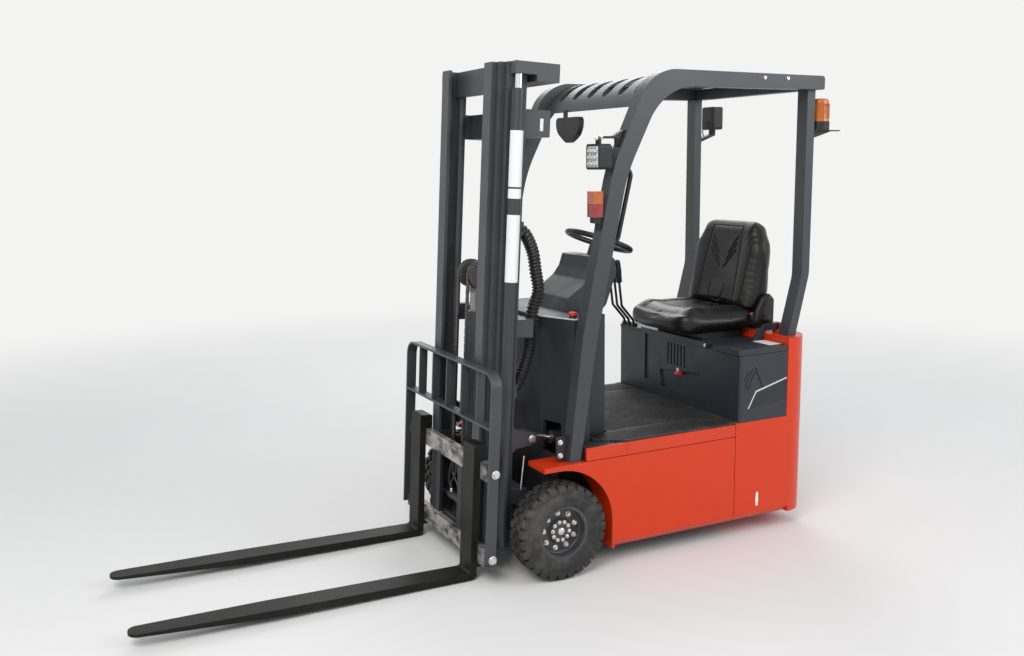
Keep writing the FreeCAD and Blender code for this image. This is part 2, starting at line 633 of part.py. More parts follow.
# Rear housing and seat deck
def rear_housing():
    low = d.deck_top + 4
    half = d.body_half_width - 1
    front = -d.housing_front
    rear = -d.rear_wall_front + 2
    outer = pad("housing_outline", "XY", [
        (rear, half, 0), (front, half, 14), (front, -half, 14), (rear, -half, 0)],
        "Sizes.deck_top + 4", "Sizes.housing_top - Sizes.deck_top - 4")
    inner = box("housing_hollow", (rear - 1, front - d.housing_wall),
                (-half + d.housing_wall, half - d.housing_wall), (low - 1, d.housing_top + 1))
    panel = pad("vent_panel", "YZ", [
        (-240, low + 66, 0), (110, low + 66, 0), (196, low + 166, 0), (258, d.housing_top + 1, 0),
        (-240, d.housing_top + 1, 0)], front - 7, 8)
    heel = pad("heel_recess", "YZ", [
        (-112, low + 54, 0), (110, low + 54, 16), (194, low + 164, 10), (-128, low + 130, 10)], front - 15, 16)
    vents = [box(f"vent_{index}", (front - d.housing_wall - 1, front), (y - 5, y + 5), (d.housing_top - 118, d.housing_top - 18))
             for index, y in enumerate((-62.5, -37.5, -12.5, 12.5, 37.5, 62.5))]
    slats = []
    for index, (low_x, low_z, high_x, high_z) in enumerate((
            (22, 182, 42, 220), (26, 152, 66, 230), (40, 143, 80, 221), (122, 143, 78, 238))):
        slats.append(pad(f"side_slat_{index}", "XZ", [
            (front - low_x + 4, d.deck_top + low_z, 0), (front - high_x + 4, d.deck_top + high_z, 0),
            (front - high_x - 4, d.deck_top + high_z, 0), (front - low_x - 4, d.deck_top + low_z, 0)],
            d.body_half_width, 5))
    node("rear_housing", cut("rear_housing", outer, [inner, panel, heel] + vents + slats))
    console = pad("console_outline", "XY", [
        (rear, -CONSOLE_EDGE, 0), (front + 4, -CONSOLE_EDGE, 0), (front + 4, -half, 18), (rear, -half, 0)],
        "Sizes.housing_top", "Sizes.lid_thickness - 8")
    node("lever_console", console)
    edge = -CONSOLE_EDGE + 5
    lid = pad("lid_outline", "XY", [
        (-d.rear_wall_front + 6, half, 0), (front + 6, half, 20), (front + 6, edge, 0),
        (-d.rear_wall_front + 6, edge, 0)], "Sizes.housing_top + 2", "Sizes.lid_thickness")
    node("seat_deck", fuse("seat_deck", [lid] + hinge_arms()))


CONSOLE_EDGE = 272
LID_TOP = d.housing_top + 2 + d.lid_thickness


def hinge_arms():
    """Gooseneck arms from the lid to the pins on the counterweight."""
    arms = []
    for name, y in HINGE_ARMS:
        arm = pad(f"hinge_arm_{name}", "XZ", [
            (HINGE_X - 14, HINGE_Z - 16, 12), (HINGE_X - 14, HINGE_Z + 14, 12),
            (-d.rear_wall_front, HINGE_Z + 14, 16), (-d.rear_wall_front + 70, LID_TOP - 1, 0),
            (-d.rear_wall_front + 8, LID_TOP - 1, 0), (-d.rear_wall_front + 8, HINGE_Z - 16, 8)], y + 8, 16)
        bore = rod(f"hinge_bore_{name}", 6 + d.running_gap, 30, (HINGE_X, y - 15, HINGE_Z), ALONG_Y)
        arms.append(cut(f"hinge_arm_bored_{name}", arm, [bore]))
    return arms


rear_housing()


# Seat
def seat():
    half = d.seat_half_width
    front = -d.seat_front
    base = box("seat_rails", (front - 360, front - 140), (-170, 170), (LID_TOP, d.seat_bottom - 0.3))
    cushion = pad("seat_cushion", "XY", [
        (front, half - 20, 60), (front, -half + 20, 60), (front - 390, -half, 40), (front - 390, half, 40)],
        "Sizes.seat_bottom", "Sizes.seat_height")
    node("seat_cushion", cushion)
    back = pad("seat_back", "XZ", [
        (front - 392.3, d.seat_bottom + 38.3, 0), (front - 392.3, d.seat_bottom + d.seat_height + 0.6, 0),
        (front - 340, d.seat_bottom + d.seat_height + 0.6, 0), (front - 425, d.seat_back_top, 40),
        (front - 495, d.seat_back_top, 30), (front - 470, d.seat_bottom + 38.3, 30)],
        half - 10, 2 * half - 20)
    trim_left = pad("back_trim", "YZ", [
        (-half + 8, d.seat_bottom - 10, 0), (-half + 8, d.seat_back_top - 120, 120),
        (-half + 75, d.seat_back_top + 1, 60), (half - 75, d.seat_back_top + 1, 60),
        (half - 8, d.seat_back_top - 120, 120), (half - 8, d.seat_bottom - 10, 0)],
        front - 600, 400)
    both = named("Part::Common", "seat_back_form")
    both.Base = back
    both.Tool = trim_left
    node("seat_back", both)
    hinge = box("recliner_cover", (front - 465, front - 390.3), (-half + 20, half - 20),
                (d.seat_bottom, d.seat_bottom + 38))
    node("seat_base", group("seat_base", [base, hinge]))


seat()


# Cowl, dash and controls
RAKE = math.radians(d.steering_rake)
RAKE_TURN = Rotation(Vector(0, 1, 0), -d.steering_rake)
WHEEL_CENTRE = Vector(-d.steering_x, 0, d.steering_z)
COLUMN_DOWN = Vector(math.sin(RAKE), 0, -math.cos(RAKE))
COLUMN_END = WHEEL_CENTRE + COLUMN_DOWN * 96


def cowl():
    def plan(inset):
        side = d.cowl_half_width - inset
        front_half = d.cowl_front_half_width - inset / 2
        rear_half = d.cowl_rear_half_width - inset
        front = -d.cowl_front - inset
        shoulder = -118 - inset
        rear = -d.cowl_rear + inset
        notch = -190 + inset
        points = [(front, front_half, 0), (shoulder, side, 0), (notch, side, 0), (notch, rear_half, 0),
                  (rear, rear_half, 0)]
        return points + [(a, -b, r) for a, b, r in reversed(points)]
    shell = pad("cowl_outline", "XY", plan(0), "Sizes.cowl_bottom", "Sizes.cowl_top - Sizes.cowl_bottom")
    hollow = pad("cowl_hollow", "XY", plan(d.cowl_wall), d.cowl_bottom - 1,
                 d.cowl_top - d.cowl_bottom + 1 - d.cowl_wall)
    doors = [box(f"rod_window_{name}", (-118, 0), (side * d.tilt_y - 42, side * d.tilt_y + 42),
                 (d.cowl_bottom - 1, 575)) for name, side in (("left", 1), ("right", -1))]
    node("cowl", cut("cowl", shell, [hollow] + doors))
    console = pad("console", "XZ", [
        (-190, d.cowl_top, 0), (-215, 1050, 20), (-315, 1120, 30), (-345, 1160, 20), (-362, 1212, 10),
        (-440, 1212, 20), (-452, 1150, 20), (-400, 1010, 40), (-330, 960, 20),
        (-d.cowl_rear - 0.3, 900, 0), (-d.cowl_rear - 0.3, d.cowl_top, 0)], 150, 300)
    node("dash_console", cut("dash_console", console, [rod("column_socket", 34.3, 80, tuple(COLUMN_END), RAKE_TURN)]))


cowl()


def steering():
    turn = RAKE_TURN
    centre = WHEEL_CENTRE
    down = COLUMN_DOWN
    column = rod("column", 34, 74, tuple(COLUMN_END), turn)
    node("steering_column", column)
    rim = named("Part::Torus", "wheel_rim")
    bind(rim, Radius1="Sizes.steering_radius", Radius2="Sizes.steering_rim")
    rim.Placement = Placement(centre, turn)
    hub = rod("wheel_hub", 30, 21.6, tuple(centre + down * 21.6), turn)
    spokes = []
    for index, angle in enumerate((90, 210, 330)):
        spoke = named("Part::Box", f"wheel_spoke_{index}")
        bind(spoke, Length="Sizes.steering_radius", Width=22, Height=8)
        spin = Rotation(Vector(0, 0, 1), angle)
        spoke.Placement = Placement(centre, turn * spin) * Placement(Vector(0, -11, -12), UPRIGHT)
        spokes.append(spoke)
    node("steering_wheel", fuse("steering_wheel", [rim, hub] + spokes))


steering()


# Overhead guard, its front legs bent forward from the cowl to the roof
LEG_FRONT = ((-113, d.cowl_top - 63), (-250, d.guard_top - 367), (-422, d.guard_top))
LEG_REAR = ((-178, d.cowl_top - 69), (-312, d.guard_top - 397), (-480, d.guard_top - d.guard_depth))


def guard():
    top = d.guard_top
    under = top - d.guard_depth
    foot = d.step_seam
    (knee_x, knee_z), (bend_x, bend_z), (crown_x, crown_z) = LEG_FRONT
    (heel_x, heel_z), (hollow_x, hollow_z), (pit_x, pit_z) = LEG_REAR
    outline = [
        (-53, foot, 0), (knee_x, knee_z, 300), (bend_x, bend_z, 600), (crown_x, crown_z, 180),
        (-d.guard_rear, top - 8, 14), (-d.guard_rear, under, 8), (pit_x, pit_z, 240),
        (hollow_x, hollow_z, 600), (heel_x, heel_z, 300), (-104, foot, 0)]
    side = pad("guard_side", "XZ", outline, "Sizes.guard_outer", "Sizes.guard_width")
    both_sides("guard_side", side)
    trimmer = pad("handle_trimmer", "XZ", outline, "Sizes.guard_outer", "Sizes.guard_width")
    half = d.guard_outer - d.guard_width
    crest = top - 7
    bend = d.roof_bend
    lip_x = -600 + 0.935 * bend
    lip_z = crest - bend + math.sqrt(bend ** 2 - (0.935 * bend) ** 2)
    sheet_edges = []
    inner = bend - d.roof_sheet
    centre = Vector(-600, 0, crest - bend)

    def on_bend(radius, share):
        angle = math.acos(0.935) + (math.pi / 2 - math.acos(0.935)) * share
        return centre + Vector(math.cos(angle), 0, math.sin(angle)) * radius
    rear = -d.guard_rear + 50
    outer = [on_bend(bend, share) for share in (0, 0.5, 1)]
    lower = [on_bend(inner, share) for share in (0, 0.5, 1)]
    sheet_edges.append(Part.Arc(*outer).toShape())
    sheet_edges.append(Part.LineSegment(outer[2], Vector(rear, 0, crest)).toShape())
    sheet_edges.append(Part.LineSegment(Vector(rear, 0, crest), Vector(rear, 0, crest - d.roof_sheet)).toShape())
    sheet_edges.append(Part.LineSegment(Vector(rear, 0, crest - d.roof_sheet), lower[2]).toShape())
    sheet_edges.append(Part.Arc(*reversed(lower)).toShape())
    sheet_edges.append(Part.LineSegment(lower[0], outer[0]).toShape())
    face = Part.Face(Part.Wire(sheet_edges))
    face.translate(Vector(0, -half, 0))
    roof = named("Part::Feature", "roof_bent")
    roof.Shape = face.extrude(Vector(0, 2 * half, 0))
    slots = []
    for index in range(6):
        middle = -300 + index * 120
        for row, (rear_x, front_x) in enumerate(((-620, -440), (-d.guard_rear + 116, -700))):
            slots.append(pad(f"roof_slot_{index}_{row}", "XY", [
                (rear_x, middle - 28, 27.9), (front_x, middle - 28, 27.9), (front_x, middle + 28, 27.9),
                (rear_x, middle + 28, 27.9)], top - 257, 300))
    node("roof_sheet", cut("roof_sheet", roof, slots))
    cross = box("roof_rear_beam", (f"-{GUARD_REAR}", f"-{GUARD_REAR} + 50"), (-half, half),
                ("Sizes.guard_top - Sizes.guard_depth", "Sizes.guard_top - 14"))
    node("roof_rear_beam", cross)
    foot_x = d.wheelbase + d.pillar_foot
    head_x = d.wheelbase + d.pillar_head
    knee = d.rear_wall_top + 254
    pillar = pad("rear_pillar", "XZ", [
        (-foot_x, d.rear_wall_top, 0), (-head_x, knee, 160), (-head_x, under, 0), (-PILLAR_REAR, under, 0),
        (-PILLAR_REAR, knee + 10, 160), (-foot_x - d.pillar_depth, d.rear_wall_top, 0)],
        "Sizes.pillar_outer", "Sizes.pillar_width")
    node("rear_pillars", group("rear_pillars", [pillar, mirror("rear_pillar_right", pillar)]))
    return trimmer


HANDLE_TRIMMER = guard()


# Lamps, beacon, mirror, handle, levers and pedals
def on_line(line, z):
    """Height z's x on a broken line of (x, z) points."""
    for (x0, z0), (x1, z1) in zip(line, line[1:]):
        if z <= z1 or (x1, z1) == line[-1]:
            return x0 + (x1 - x0) * (z - z0) / (z1 - z0)


def tube(label, radius, points, bend):
    """A round bar of straight runs joined by tangent arcs."""
    track = []
    start = Vector(*points[0])
    for before, here, after in zip(points, points[1:], points[2:]):
        corner = Vector(*here)
        back = (Vector(*before) - corner).normalize()
        ahead = (Vector(*after) - corner).normalize()
        half = back.getAngle(ahead) / 2
        reach = bend / math.tan(half)
        middle = corner + (back + ahead).normalize() * (bend / math.sin(half) - bend)
        track.append(Part.LineSegment(start, corner + back * reach).toShape())
        track.append(Part.Arc(corner + back * reach, middle, corner + ahead * reach).toShape())
        start = corner + ahead * reach
    track.append(Part.LineSegment(start, Vector(*points[-1])).toShape())
    wire = Part.Wire(track)
    ring = Part.Wire(Part.makeCircle(radius, Vector(*points[0]), Vector(*points[1]) - Vector(*points[0])))
    bar = named("Part::Feature", label)
    bar.Shape = wire.makePipeShell([ring], True, True)
    return bar


def fittings():
    pillar_rear = -PILLAR_REAR - 0.2
    middle = d.pillar_outer - d.pillar_width / 2
    shelf = pad("beacon_shelf", "XY", [
        (pillar_rear, middle - 28, 0), (pillar_rear, middle + 28, 0), (-d.shelf_reach, middle + 8, 6),
        (-d.shelf_reach, middle - 8, 6)], "Sizes.guard_top - Sizes.shelf_drop - 5", 5)
    gusset = pad("beacon_gusset", "XZ", [
        (pillar_rear, d.shelf_z - 1, 0), (pillar_rear, d.shelf_z - 40, 0),
        (-d.shelf_reach + 50, d.shelf_z - 5, 0), (-d.shelf_reach + 50, d.shelf_z - 1, 0)], middle + 3, 6)
    foot = rod("beacon_foot", "Sizes.beacon_radius + 2", "Sizes.beacon_foot",
               (-d.beacon_x, middle, d.shelf_z - 0.5))
    lens = revolve("beacon_lens", [
        (0, 0, 0), (d.beacon_radius, 0, 0), (d.beacon_radius - 3, d.beacon_height, 14),
        (0, d.beacon_height, 0)], (-d.beacon_x, middle, d.shelf_z - 0.5 + d.beacon_foot), UPRIGHT)
    node("beacon_lens", lens)
    half = d.lamp_size / 2

    def lamp(label, x, y, z, height):
        return pad(label, "YZ", [
            (y - half, z, 12), (y - half, z + height, 12), (y + half, z + height, 12), (y + half, z, 12)],
            x, "Sizes.lamp_depth")
    lamp_low = d.guard_top - 380
    lamp_top = lamp_low + d.lamp_size
    front_lamp = lamp("front_lamp", -226, 410, lamp_low, d.lamp_size)
    face = [on_line(LEG_FRONT, z) + 0.2 for z in (lamp_top - 6, lamp_top + 52)]
    yoke = pad("front_lamp_yoke", "XZ", [
        (face[0], lamp_top - 6, 0), (face[1], lamp_top + 52, 0), (face[1] + 9, lamp_top + 52, 0),
        (face[0] + 24, lamp_top + 29, 0), (-193, lamp_top + 29, 4), (-193, lamp_top, 0), (-205, lamp_top, 0),
        (-205, lamp_top + 20, 4), (face[0] + 9, lamp_top + 20, 4), (face[0] + 9, lamp_top - 6, 0)], 422, 24)
    rear_low = d.guard_top - 205
    rear_lamp = lamp("rear_lamp", pillar_rear - 113.8, -middle, rear_low, 110)
    node("work_lamps", group("work_lamps", [front_lamp, rear_lamp]))
    stay = pad("rear_lamp_stay", "XZ", [
        (pillar_rear, rear_low - 62, 0), (pillar_rear, rear_low - 10, 0), (pillar_rear - 8, rear_low - 10, 0),
        (pillar_rear - 8, rear_low - 42, 4), (pillar_rear - 82.8, rear_low - 17, 4),
        (pillar_rear - 82.8, rear_low, 0), (pillar_rear - 92.8, rear_low, 0),
        (pillar_rear - 92.8, rear_low - 27, 0)], -middle + 20, 40)
    signal_low = d.guard_top - 559
    node("combination_lamp", box("combination_lens", (-204, -160), (393, 437), (signal_low, signal_low + 98)))
    hook_face = [on_line(LEG_FRONT, z) + 0.2 for z in (signal_low - 48, signal_low - 8)]
    foot_plate = pad("combination_foot", "XZ", [
        (hook_face[0], signal_low - 48, 0), (hook_face[1], signal_low - 8, 0), (-200, signal_low, 0),
        (-168, signal_low, 0), (-168, signal_low - 22, 0), (-190, signal_low - 26, 0),
        (-190, signal_low - 48, 0)], 430, 30)
    lip_x = -600 + 0.935 * d.roof_bend + 0.3
    glass_top = d.guard_top - 162
    hanger = box("mirror_hanger", (lip_x, lip_x + 6), (-215, -185), (glass_top - 35, glass_top + 33))
    node("mirror", pad("mirror_face", "YZ", [
        (-240, glass_top, 20), (-38, glass_top, 20), (-43, glass_top - 60, 60), (-139, glass_top - 119, 60),
        (-235, glass_top - 60, 60)], lip_x + 6, 24))
    node("fitting_brackets", group("fitting_brackets", [
        fuse("beacon_bracket", [shelf, gusset, foot]), yoke, stay, foot_plate, hanger]))
    top_z = d.guard_top - 365
    low_z = top_z - 310
    handle = tube("grab_handle", 9, [
        (on_line(LEG_REAR, top_z) + 4, 410, top_z), (on_line(LEG_REAR, top_z - 38) - 36, 410, top_z - 36),
        (on_line(LEG_REAR, low_z + 17) - 32, 410, low_z + 28), (on_line(LEG_REAR, low_z) + 4, 410, low_z)], 26)
    node("grab_handle", cut("grab_handle", handle, [HANDLE_TRIMMER]))


fittings()


def levers():
    top = d.housing_top + d.lid_thickness - 8
    rods = []
    knobs = []
    for index, y in enumerate((-430, -390, -350)):
        foot = Vector(-d.housing_front - 12, y, top)
        bar = tube(f"lever_{index}", 6, [
            (foot.x, y, top + 4), (foot.x + 8, y, top + 30), (foot.x + 74, y, top + 104),
            (foot.x + 92, y, top + 240)], 24)
        boot = rod(f"lever_boot_{index}", 15, 14, tuple(foot))
        rods.append(fuse(f"lever_set_{index}", [bar, boot]))
        knobs.append(revolve(f"lever_knob_{index}", [
            (6.3, 0, 0), (14, 0, 3), (17, 60, 20), (15, 112, 14), (0, 112, 0), (0, 28, 0), (6.3, 28, 0)],
            (foot.x + 89.2, y, top + 218), Rotation(Vector(0, 1, 0), 7.5)))
    node("levers", group("levers", rods))
    node("lever_knobs", group("lever_knobs", knobs))
    pedals = []
    wall = -d.cowl_rear - 0.2
    for name, y, wide in (("brake", 20, 76), ("drive", -110, 62)):
        arm = pad(f"pedal_arm_{name}", "XZ", [
            (wall, 700, 0), (wall - 10, 700, 0), (wall - 30, 590, 10), (wall - 64, 574, 0), (wall - 60, 562, 0),
            (wall - 18, 580, 10), (wall, 670, 0)], y + 6, 12)
        face = pad(f"pedal_face_{name}", "XZ", [
            (wall - 34, 604, 0), (wall - 28, 598, 0), (wall - 84, 546, 0), (wall - 90, 552, 0)], y + wide / 2, wide)
        pedals.append(fuse(f"pedal_{name}", [arm, face]))
    node("pedals", group("pedals", pedals))


levers()


# Mast stages
def rail(stage, label):
    """A rail pair: stage 0 is the inner one, 2 the outer one."""
    outer = d.rail_outer + stage * d.rail_wide
    front = d.rail_front - stage * d.rail_back
    back = front - d.rail_depth
    front_flange = 66 if stage == 0 else d.rail_wide - 5
    web_in = outer - d.rail_web
    section = [
        (back, outer, 0), (front, outer, 0), (front, outer - front_flange, 0),
        (front - d.rail_flange, outer - front_flange, 0), (front - d.rail_flange, web_in, 0),
        (back + d.rail_flange, web_in, 0), (back + d.rail_flange, outer - 40, 0), (back, outer - 40, 0)]
    left = pad(label + "_rail", "XY", section, "Sizes.rail_bottom", "Sizes.rail_top - Sizes.rail_bottom")
    return [left, mirror(label + "_rail_right", left)]


def mast_outer():
    outer = d.rail_outer + 2 * d.rail_wide
    back = d.rail_front - 2 * d.rail_back - d.rail_depth
    rails = rail(2, "outer")
    levels = ((262, 60, 70), (0.4726 * d.rail_top, 70, 70), (d.rail_top - 268, 100, 106))
    ties = [box(f"outer_tie_{index}", (back - deep, back - 24), (-outer, outer), (low, low + high))
            for index, (low, high, deep) in enumerate(levels)]
    cheeks = []
    for index, (low, high, deep) in enumerate(levels):
        for side in (1, -1):
            y = sorted((side * (outer - 40), side * outer))
            cheeks.append(box(f"outer_cheek_{index}_{side + 1}", (back - 25, back + 1), tuple(y), (low, low + high)))
    node("mast_outer", fuse("mast_outer", rails + ties + cheeks), MAST)
    pivot_u = d.pivot_x * math.cos(LEAN) + d.pivot_z * math.sin(LEAN)
    pivot_s = d.pivot_z * math.cos(LEAN) - d.pivot_x * math.sin(LEAN)
    lug = pad("pivot_lug", "XZ", [
        (back, 130, 0), (back, 255, 0), (back - 20, 255, 0),
        (pivot_u - 32, pivot_s + 32, 30), (pivot_u - 32, pivot_s - 32, 30), (back - 20, 130, 0)],
        EAR_INNER - 6, 20)
    bore = rod("pivot_bore", d.pivot_radius + d.running_gap, 100, (pivot_u, EAR_INNER - 60, pivot_s), ALONG_Y)
    left = cut("pivot_lug_bored", lug, [bore])
    filler = box("pivot_web", (back - 15, back), (EAR_INNER - 26, outer - 10), (130, 255))
    side = fuse("pivot_bracket", [left, filler])
    lugs = [side, mirror("pivot_bracket_right", side)]
    eye_u = d.tilt_front_x * math.cos(LEAN) + d.tilt_front_z * math.sin(LEAN)
    eye_s = d.tilt_front_z * math.cos(LEAN) - d.tilt_front_x * math.sin(LEAN)
    ears = [pad(f"tilt_ear_{name}", "XZ", [
        (back - 10, eye_s - 40, 0), (back - 10, eye_s + 40, 0), (eye_u - 22, eye_s + 22, 20),
        (eye_u - 22, eye_s - 22, 20)], d.tilt_y + offset + 6, 12) for name, offset in (("out", 21), ("in", -21))]
    plate = box("tilt_ear_plate", (back - 12, back), (d.tilt_y - 27, outer), (eye_s - 46, eye_s + 46))
    pin = rod("tilt_pin", "Sizes.tilt_pin_radius", 60, (eye_u, d.tilt_y - 30, eye_s), ALONG_Y)
    ear_set = fuse("tilt_ears", ears + [plate, pin])
    node("mast_lugs", group("mast_lugs", lugs + [ear_set, mirror("tilt_ears_right", ear_set)]), MAST)
    return pivot_u, pivot_s, eye_u, eye_s


PIVOT_U, PIVOT_S, EYE_U, EYE_S = mast_outer()

LIFT_U = 197
LIFT_Y = d.rail_outer + 2 * d.rail_wide + 3 + d.lift_radius
LIFT_TOP = d.rail_top - 98


def lift_cylinders():
    barrel = rod("lift_barrel", "Sizes.lift_radius", LIFT_TOP - 110, (LIFT_U, LIFT_Y, 110))
    bore = rod("lift_bore", "Sizes.lift_rod_radius + Sizes.running_gap", LIFT_TOP, (LIFT_U, LIFT_Y, 200))
    foot = box("lift_foot", (LIFT_U - 25, LIFT_U + 25), (LIFT_Y - d.lift_radius - 3, LIFT_Y + 25), (90, 110))
    clamps = [box(f"lift_clamp_{index}", (LIFT_U - 12, LIFT_U + 12), (LIFT_Y - d.lift_radius - 3, LIFT_Y), (low, low + 30))
              for index, low in enumerate((0.3557 * d.rail_top, 0.813 * d.rail_top))]
    left = cut("lift_barrel_bored", fuse("lift_barrel_blank", [barrel, foot] + clamps), [bore])
    node("lift_cylinders", group("lift_cylinders", [left, mirror("lift_barrel_right", left)]), MAST)
    lift_rod = rod("lift_rod", "Sizes.lift_rod_radius", d.rail_top - 45 - 240, (LIFT_U, LIFT_Y, 240))
    node("lift_rods", group("lift_rods", [lift_rod, mirror("lift_rod_right", lift_rod)]), MAST)


lift_cylinders()


ROLLER = (d.rail_depth - 2 * d.rail_flange) / 2 - 0.3


def rollers(label, stage):
    """Rollers on a stage's webs that run in the channel of the next stage out."""
    web = d.rail_outer + stage * d.rail_wide
    centre = d.rail_front - (stage + 1) * d.rail_back - d.rail_depth / 2
    return [rod(f"{label}_roller_{side + 1}_{index}", ROLLER, d.rail_wide - d.rail_web - 1,
                (centre, web - 1 if side > 0 else -web - d.rail_wide + d.rail_web + 2, height), ALONG_Y)
            for side in (1, -1) for index, height in enumerate((110, 560))]


def mast_middle():
    outer = d.rail_outer + d.rail_wide
    back = d.rail_front - d.rail_back - d.rail_depth
    rails = rail(1, "middle")
    outer_back = back - d.rail_back
    head_low = d.rail_top - 45
    head_front = outer_back - 15
    reach = LIFT_Y + 22
    head = box("middle_head", (head_front - 96, head_front), (-reach, reach), (d.rail_top - 68, d.rail_top))
    bridges = [box(f"middle_bridge_{side + 1}", (head_front - 1, back + 10),
                   tuple(sorted((side * (outer - 36), side * (outer - 15)))), (d.rail_top - 68, d.rail_top))
               for side in (1, -1)]
    arms = [box(f"middle_arm_{side + 1}", (head_front - 1, LIFT_U + 24),
                tuple(sorted((side * (outer + d.rail_wide + 5), side * reach))), (head_low, d.rail_top))
            for side in (1, -1)]
    low_tie = box("middle_low_tie", (back - 36, back - 10), (-outer + 45, outer - 45), (100, 180))
    tie_feet = [box(f"middle_tie_foot_{side + 1}", (back - 36, back + 1),
                    tuple(sorted((side * (outer - 60), side * (outer - 36)))), (100, 180)) for side in (1, -1)]
    node("mast_middle", fuse("mast_middle", rails + [head, low_tie] + bridges + arms + tie_feet
                             + rollers("middle", 1)), MAST)


mast_middle()

FREE_U = d.rail_front - 72
INNER_TIE = 103
PULLEY_S = 0.5843 * d.rail_top
PULLEY_Y = 45
CHAIN_WIDE = 16
CHAIN_DEEP = 10
COLLAR_TOP = PULLEY_S - 220
LUG_TOP = d.bar_bottom + d.bar_pitch + 40


def mast_inner():
    inner_face = d.rail_outer - d.rail_web
    back = d.rail_front - d.rail_depth
    rails = rail(0, "inner")
    top_tie = box("inner_top_tie", (back, back + 26), (-inner_face - 1, inner_face + 1),
                  (d.rail_top - INNER_TIE, d.rail_top - 3))
    low_tie = box("inner_low_tie", (back - 17, back + 13), (-inner_face - 1, inner_face + 1), (85, 130))
    node("mast_inner", fuse("mast_inner", rails + [top_tie, low_tie] + rollers("inner", 0)), MAST)
    barrel = rod("free_barrel", "Sizes.free_radius", PULLEY_S - 280, (FREE_U, 0, 130))
    bore = rod("free_bore", "Sizes.free_rod_radius + Sizes.running_gap", PULLEY_S - 250, (FREE_U, 0, 190))
    foot = box("free_foot", (back - 17, back + 13), (-30, 30), (130, 180))
    collar = box("chain_anchor", (FREE_U - d.pulley_radius - 8, FREE_U - 20), (-PULLEY_Y - 12, PULLEY_Y + 12),
                 (COLLAR_TOP - 30, COLLAR_TOP))
    node("free_lift_cylinder", cut("free_lift_cylinder", fuse("free_blank", [barrel, foot, collar]), [bore]), MAST)


mast_inner()


def crosshead():
    piston = rod("free_rod", "Sizes.free_rod_radius", PULLEY_S - 290, (FREE_U, 0, 220))
    head = box("head_block", (FREE_U - 30, FREE_U + 30), (-20, 20), (PULLEY_S - 71, PULLEY_S + 20))
    pin = rod("pulley_pin", 12, 140, (FREE_U, -70, PULLEY_S), ALONG_Y)
    node("crosshead", fuse("crosshead", [piston, head, pin]), MAST)
    wheels = []
    for side, name in ((1, "left"), (-1, "right")):
        half = d.pulley_width / 2
        radius = d.pulley_radius
        wheels.append(revolve(f"pulley_{name}", [
            (12.1, -half, 0), (radius + 6, -half, 2), (radius + 6, -half + 4, 0), (radius, -half + 5, 0),
            (radius, half - 5, 0), (radius + 6, half - 4, 0), (radius + 6, half, 2), (12.1, half, 0)],
            (FREE_U, side * PULLEY_Y, PULLEY_S), ALONG_Y))
    node("chain_pulleys", group("chain_pulleys", wheels), MAST)


crosshead()


def lift_chains():
    """Two strands from the carriage lugs over the pulleys to the anchor on the cylinder."""
    near = d.pulley_radius + 0.4
    far = near + CHAIN_DEEP
    half = CHAIN_WIDE / 2
    strands = []
    for side, name in ((1, "left"), (-1, "right")):
        y = side * PULLEY_Y + half
        bow = pad(f"chain_bow_{name}", "XZ", [
            (FREE_U - far, PULLEY_S - 0.5, 0), (FREE_U - far, PULLEY_S + far, far - 0.2),
            (FREE_U + far, PULLEY_S + far, far - 0.2), (FREE_U + far, PULLEY_S - 0.5, 0),
            (FREE_U + near, PULLEY_S - 0.5, 0), (FREE_U + near, PULLEY_S + near, near - 0.2),
            (FREE_U - near, PULLEY_S + near, near - 0.2), (FREE_U - near, PULLEY_S - 0.5, 0)], y, CHAIN_WIDE)
        front = box(f"chain_front_{name}", (FREE_U + near, FREE_U + far), (y - CHAIN_WIDE, y), (LUG_TOP + 0.2, PULLEY_S))
        rear = box(f"chain_rear_{name}", (FREE_U - far, FREE_U - near), (y - CHAIN_WIDE, y), (COLLAR_TOP + 0.2, PULLEY_S))
        strands.append(fuse(f"chain_{name}", [bow, front, rear]))
    node("lift_chains", group("lift_chains", strands), MAST)


lift_chains()


# Carriage, side shift frame, backrest and forks
def carriage():
    upper = d.bar_bottom + d.bar_pitch
    plates = []
    face = d.rail_front + 1
    for side in (1, -1):
        plates.append(box(f"carriage_cheek_{side + 1}", (face - 60, face), tuple(sorted((side * 148, side * 162))),
                          (80, upper + 77)))
    tie_back = FREE_U + d.pulley_radius + CHAIN_DEEP + 1.5
    ties = [box(f"carriage_tie_{index}", (tie_back, face), (-150, 150), (low, low + 60))
            for index, low in enumerate((85, upper))]
    pad_face = d.bar_front - d.bar_depth - 0.3
    pads = [box(f"slide_pad_{index}", (face - 1, pad_face), (-150, 150), (low, low + 22))
            for index, low in enumerate((d.bar_bottom + 30, upper + 30))]
    lugs = [box(f"chain_lug_{side + 1}", (FREE_U + 43, face - 6), tuple(sorted((side * 34, side * 56))),
                (LUG_TOP - 30, LUG_TOP))
            for side in (1, -1)]
    wheels = []
    for side in (1, -1):
        for index, height in enumerate((120, 430)):
            start = 161 if side > 0 else -214
            wheels.append(rod(f"roller_{side + 1}_{index}", ROLLER, 53,
                              (d.rail_front - d.rail_depth / 2, start, height), ALONG_Y))
    node("carriage", fuse("carriage", plates + ties + pads + lugs + wheels), MAST)


carriage()


